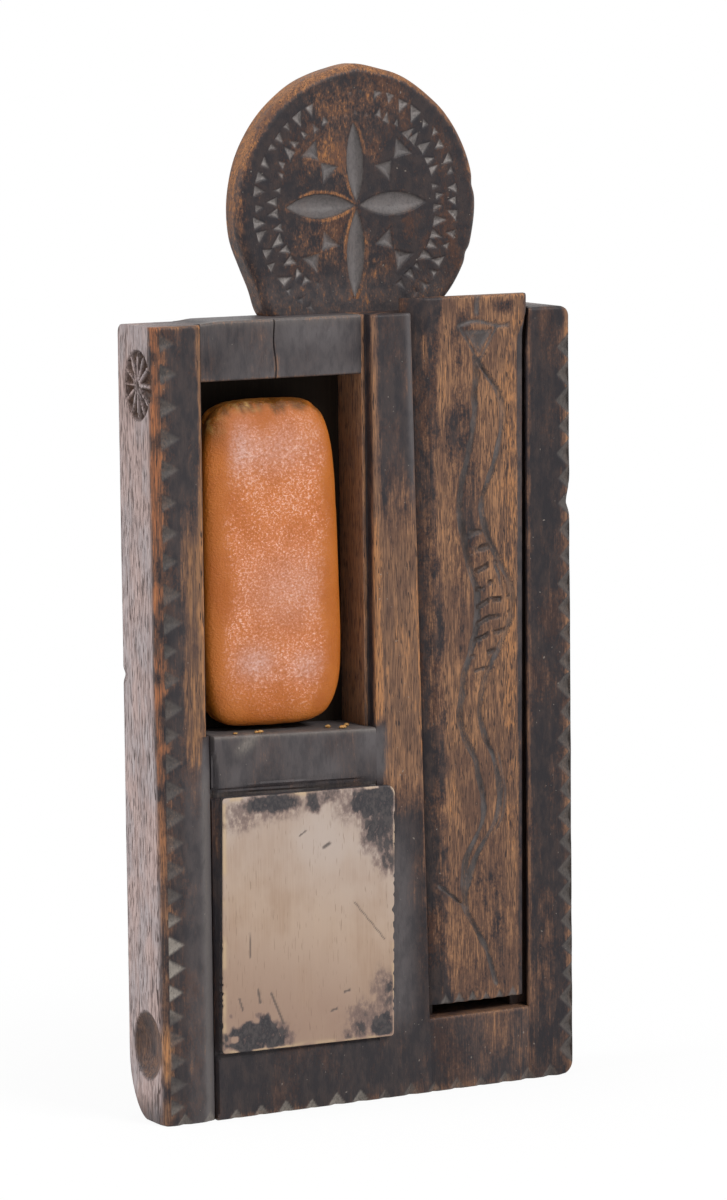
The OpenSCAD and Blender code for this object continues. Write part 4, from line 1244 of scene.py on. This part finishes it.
def soft_brick(name):
    """A smooth orange block with a pale speckled bloom on its face, whose pale dots are partly painted
    glints, darker sides, a crumbly crust and tan flakes."""
    f = Finish(bpy.data.materials.new(name))
    bloom, pale, crust, flake, side = f.marks("bloom pale crust flake side")
    cloud = f.noise((16, 16, 20), 3.0, 0.55, 4)
    speck = f.noise((1.15, 1.15, 1.0), 3.0, 0.6, 8)
    grain = f.noise((0.6, 0.6, 0.5), 1.0, 0.5, 13)
    drift = f.noise((24, 24, 30), 2.0, 0.5, 34).ramp(0.36, 0.60, 0.72, 1.0)
    powder = (speck * 0.9 + cloud * 0.4 - 0.2).ramp(0.15, 0.75) * bloom * drift
    # Pale speckles of the bloom together with painted glints of a bumpy face
    dots_and_glints = (speck * 0.6 + grain * 0.4 + (cloud - 0.5) * 0.25).ramp(0.51, 0.67) * bloom * drift
    colour = f.layers(BRICK_DEEP,
                      (cloud.ramp(0.35, 0.65), BRICK_BRIGHT),
                      (side.clip() * 0.8, BRICK_SIDE),
                      (powder * 0.92, BRICK_POWDER),
                      (dots_and_glints * 0.78, BRICK_DOT_AND_GLINT),
                      (pale * speck.ramp(0.3, 0.6, 0.35, 1.0) * 0.6, BRICK_PALE),
                      ((crust * speck.ramp(0.26, 0.48, 0.4, 1.0)).clip(), CRUST_DARK),
                      ((crust * speck.ramp(0.58, 0.68)).clip() * 0.7, CRUST_TAN),
                      ((flake * speck.ramp(0.3, 0.55, 0.6, 1.0)).clip(), FLAKE_TAN))
    height = speck * 0.9 + grain * 0.5 + cloud * 0.5
    rough = 0.36 + powder * 0.1 + grain * 0.08
    return f.done(colour, rough, f.bump(height, 0.6, 0.9), Specular_IOR_Level=0.3,
                  Subsurface_Weight=0.06, Subsurface_Radius=(0.003, 0.0012, 0.0006))


def whittled_wood(name, dark, pale):
    """Plain brown wood with fine grain along one axis, for the back board, the pegs and the dowels."""
    f = Finish(bpy.data.materials.new(name))
    streak = f.noise((2.4, 2.4, 60), 4.0, 0.6, 15)
    fibre = f.noise((0.5, 0.5, 12), 3.0, 0.6, 17)
    cloud = f.noise((25, 25, 45), 3.0, 0.5, 19)
    colour = f.layers(dark,
                      ((streak * 0.7 + cloud * 0.3).ramp(0.35, 0.65), pale),
                      (fibre.ramp(0.45, 0.33, 0.0, 0.6), tuple(0.35 * c for c in dark)),
                      # Painted shade where inner is high: the back board's face inside the compartments
                      (f.mark("inner") * 0.94, INSIDE_PAINTED_SHADE))
    return f.done(colour, 0.6 + fibre * 0.15, f.bump(fibre + streak, 0.25, 0.5), Specular_IOR_Level=0.1)


plank_finish = stained_wood("plank_stain", 0.0, red=0.3, warm=0.55)
head_finish = stained_wood("head_stain", 7.0, (0.14, 0.062, 0.034), (0.36, 0.155, 0.056), run=0.12,
                           soft=0.24, warm=0.5, fine=0.9, powder=(0.31, 0.28, 0.265), hold=0.19)
strip_finish = stained_wood("strip_stain", 21.0, (0.165, 0.092, 0.056), (0.325, 0.163, 0.077), warm=0.6)
lid_finish = stained_wood("lid_stain", 43.0, (0.150, 0.079, 0.050), (0.330, 0.168, 0.085), run=0.7,
                          fine=0.8, dark=0.8)
board_finish = scoured_wood("board_scoured")
block_finish = soft_brick("block_soft_brick")
back_finish = whittled_wood("back_planed", (0.085, 0.052, 0.033), (0.17, 0.108, 0.066))
peg_finish = whittled_wood("peg_whittled", (0.19, 0.115, 0.062), (0.34, 0.225, 0.13))

for make in (centre_stile, right_stile, bottom_rail, field, top_rail, back_bar):
    make(plank_finish)
head(head_finish)
side_strip(strip_finish)
back_panel(back_finish)
sliding_lid(lid_finish)
rubbing_board(board_finish)
block(block_finish)
crumbs(block_finish)
for node in ("side_dowels", "back_pegs"):
    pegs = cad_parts[node]
    pegs.data.materials.clear()
    pegs.data.materials.append(peg_finish)


# Floor, light and camera

def floor():
    """A pale floor that reads as white to the camera and still takes the object's shadow."""
    side = 6.0
    corners = [(-side, -side, 0), (side, -side, 0), (side, side, 0), (-side, side, 0)]
    mesh = bpy.data.meshes.new("floor")
    mesh.from_pydata(corners, [], [(0, 1, 2, 3)])
    f = Finish(bpy.data.materials.new("floor_white"))
    plain = f.node("ShaderNodeBsdfDiffuse", {}, {"Color": (0.9, 0.9, 0.9)})
    glow = f.node("ShaderNodeEmission", {}, {"Color": (1.0, 1.0, 1.0), "Strength": 1.0})
    away = f.node("ShaderNodeVectorMath", {"operation": "LENGTH"}, {0: f.place}, "Value")
    share = f.seen() * away.ramp(0.10, 0.34, 0.92, 1.0)
    mesh.materials.append(f.close(f.node("ShaderNodeMixShader", {}, {0: share, 1: plain, 2: glow})))
    ground = bpy.data.objects.new("floor", mesh)
    bpy.context.scene.collection.objects.link(ground)


def sky(strength):
    """Even light all round, seen as white by the camera and in reflections."""
    f = Finish(bpy.data.worlds.new("studio"))
    level = f.seen() * (1 - strength) + strength
    light = f.node("ShaderNodeBackground", {}, {"Color": (1.0, 1.0, 1.0), "Strength": level})
    bpy.context.scene.world = f.close(light, "ShaderNodeOutputWorld")


def lamp(name, place, aim, size, watts):
    """A square soft box at a place, turned to what it lights, in metres."""
    light = bpy.data.lights.new(name, "AREA")
    light.size, light.energy = size, watts
    thing = bpy.data.objects.new(name, light)
    thing.location = place
    thing.rotation_euler = (Vector(aim) - Vector(place)).to_track_quat("-Z", "Y").to_euler()
    bpy.context.scene.collection.objects.link(thing)


def camera():
    """The photograph's camera: a long lens at 28.5 degrees to the left and 7.3 above, a little rolled."""
    azimuth, elevation, roll = (math.radians(a) for a in (28.5, 7.26, -0.641))
    distance, lens_mm, target = 2106.7, 149.73, Vector((-1.96, FRONT, 215.85))
    flat = math.cos(elevation)
    ahead = Vector((math.sin(azimuth) * flat, math.cos(azimuth) * flat, -math.sin(elevation)))
    right = Vector((math.cos(azimuth), -math.sin(azimuth), 0))
    up = right.cross(ahead)
    right, up = right * math.cos(roll) + up * math.sin(roll), up * math.cos(roll) - right * math.sin(roll)
    data = bpy.data.cameras.new("camera")
    data.lens, data.sensor_width = lens_mm, 36.0
    data.clip_start, data.clip_end = 0.05, 60.0
    thing = bpy.data.objects.new("camera", data)
    turn = Matrix((right, up, -ahead)).transposed().to_4x4()
    thing.matrix_world = Matrix.Translation((target - ahead * distance) * MM) @ turn
    bpy.context.scene.collection.objects.link(thing)
    bpy.context.scene.camera = thing


floor()
sky(0.32)
lamp("key", (0.7, -1.6, 1.7), (0, 0, 0.2), 0.8, 34)
lamp("left", (-1.9, 0.2, 1.2), (0, 0, 0.2), 1.0, 24)
lamp("top", (0, 0.2, 1.9), (0, 0, 0.2), 1.0, 8)
camera()
bpy.context.scene.view_settings.view_transform = "Standard"
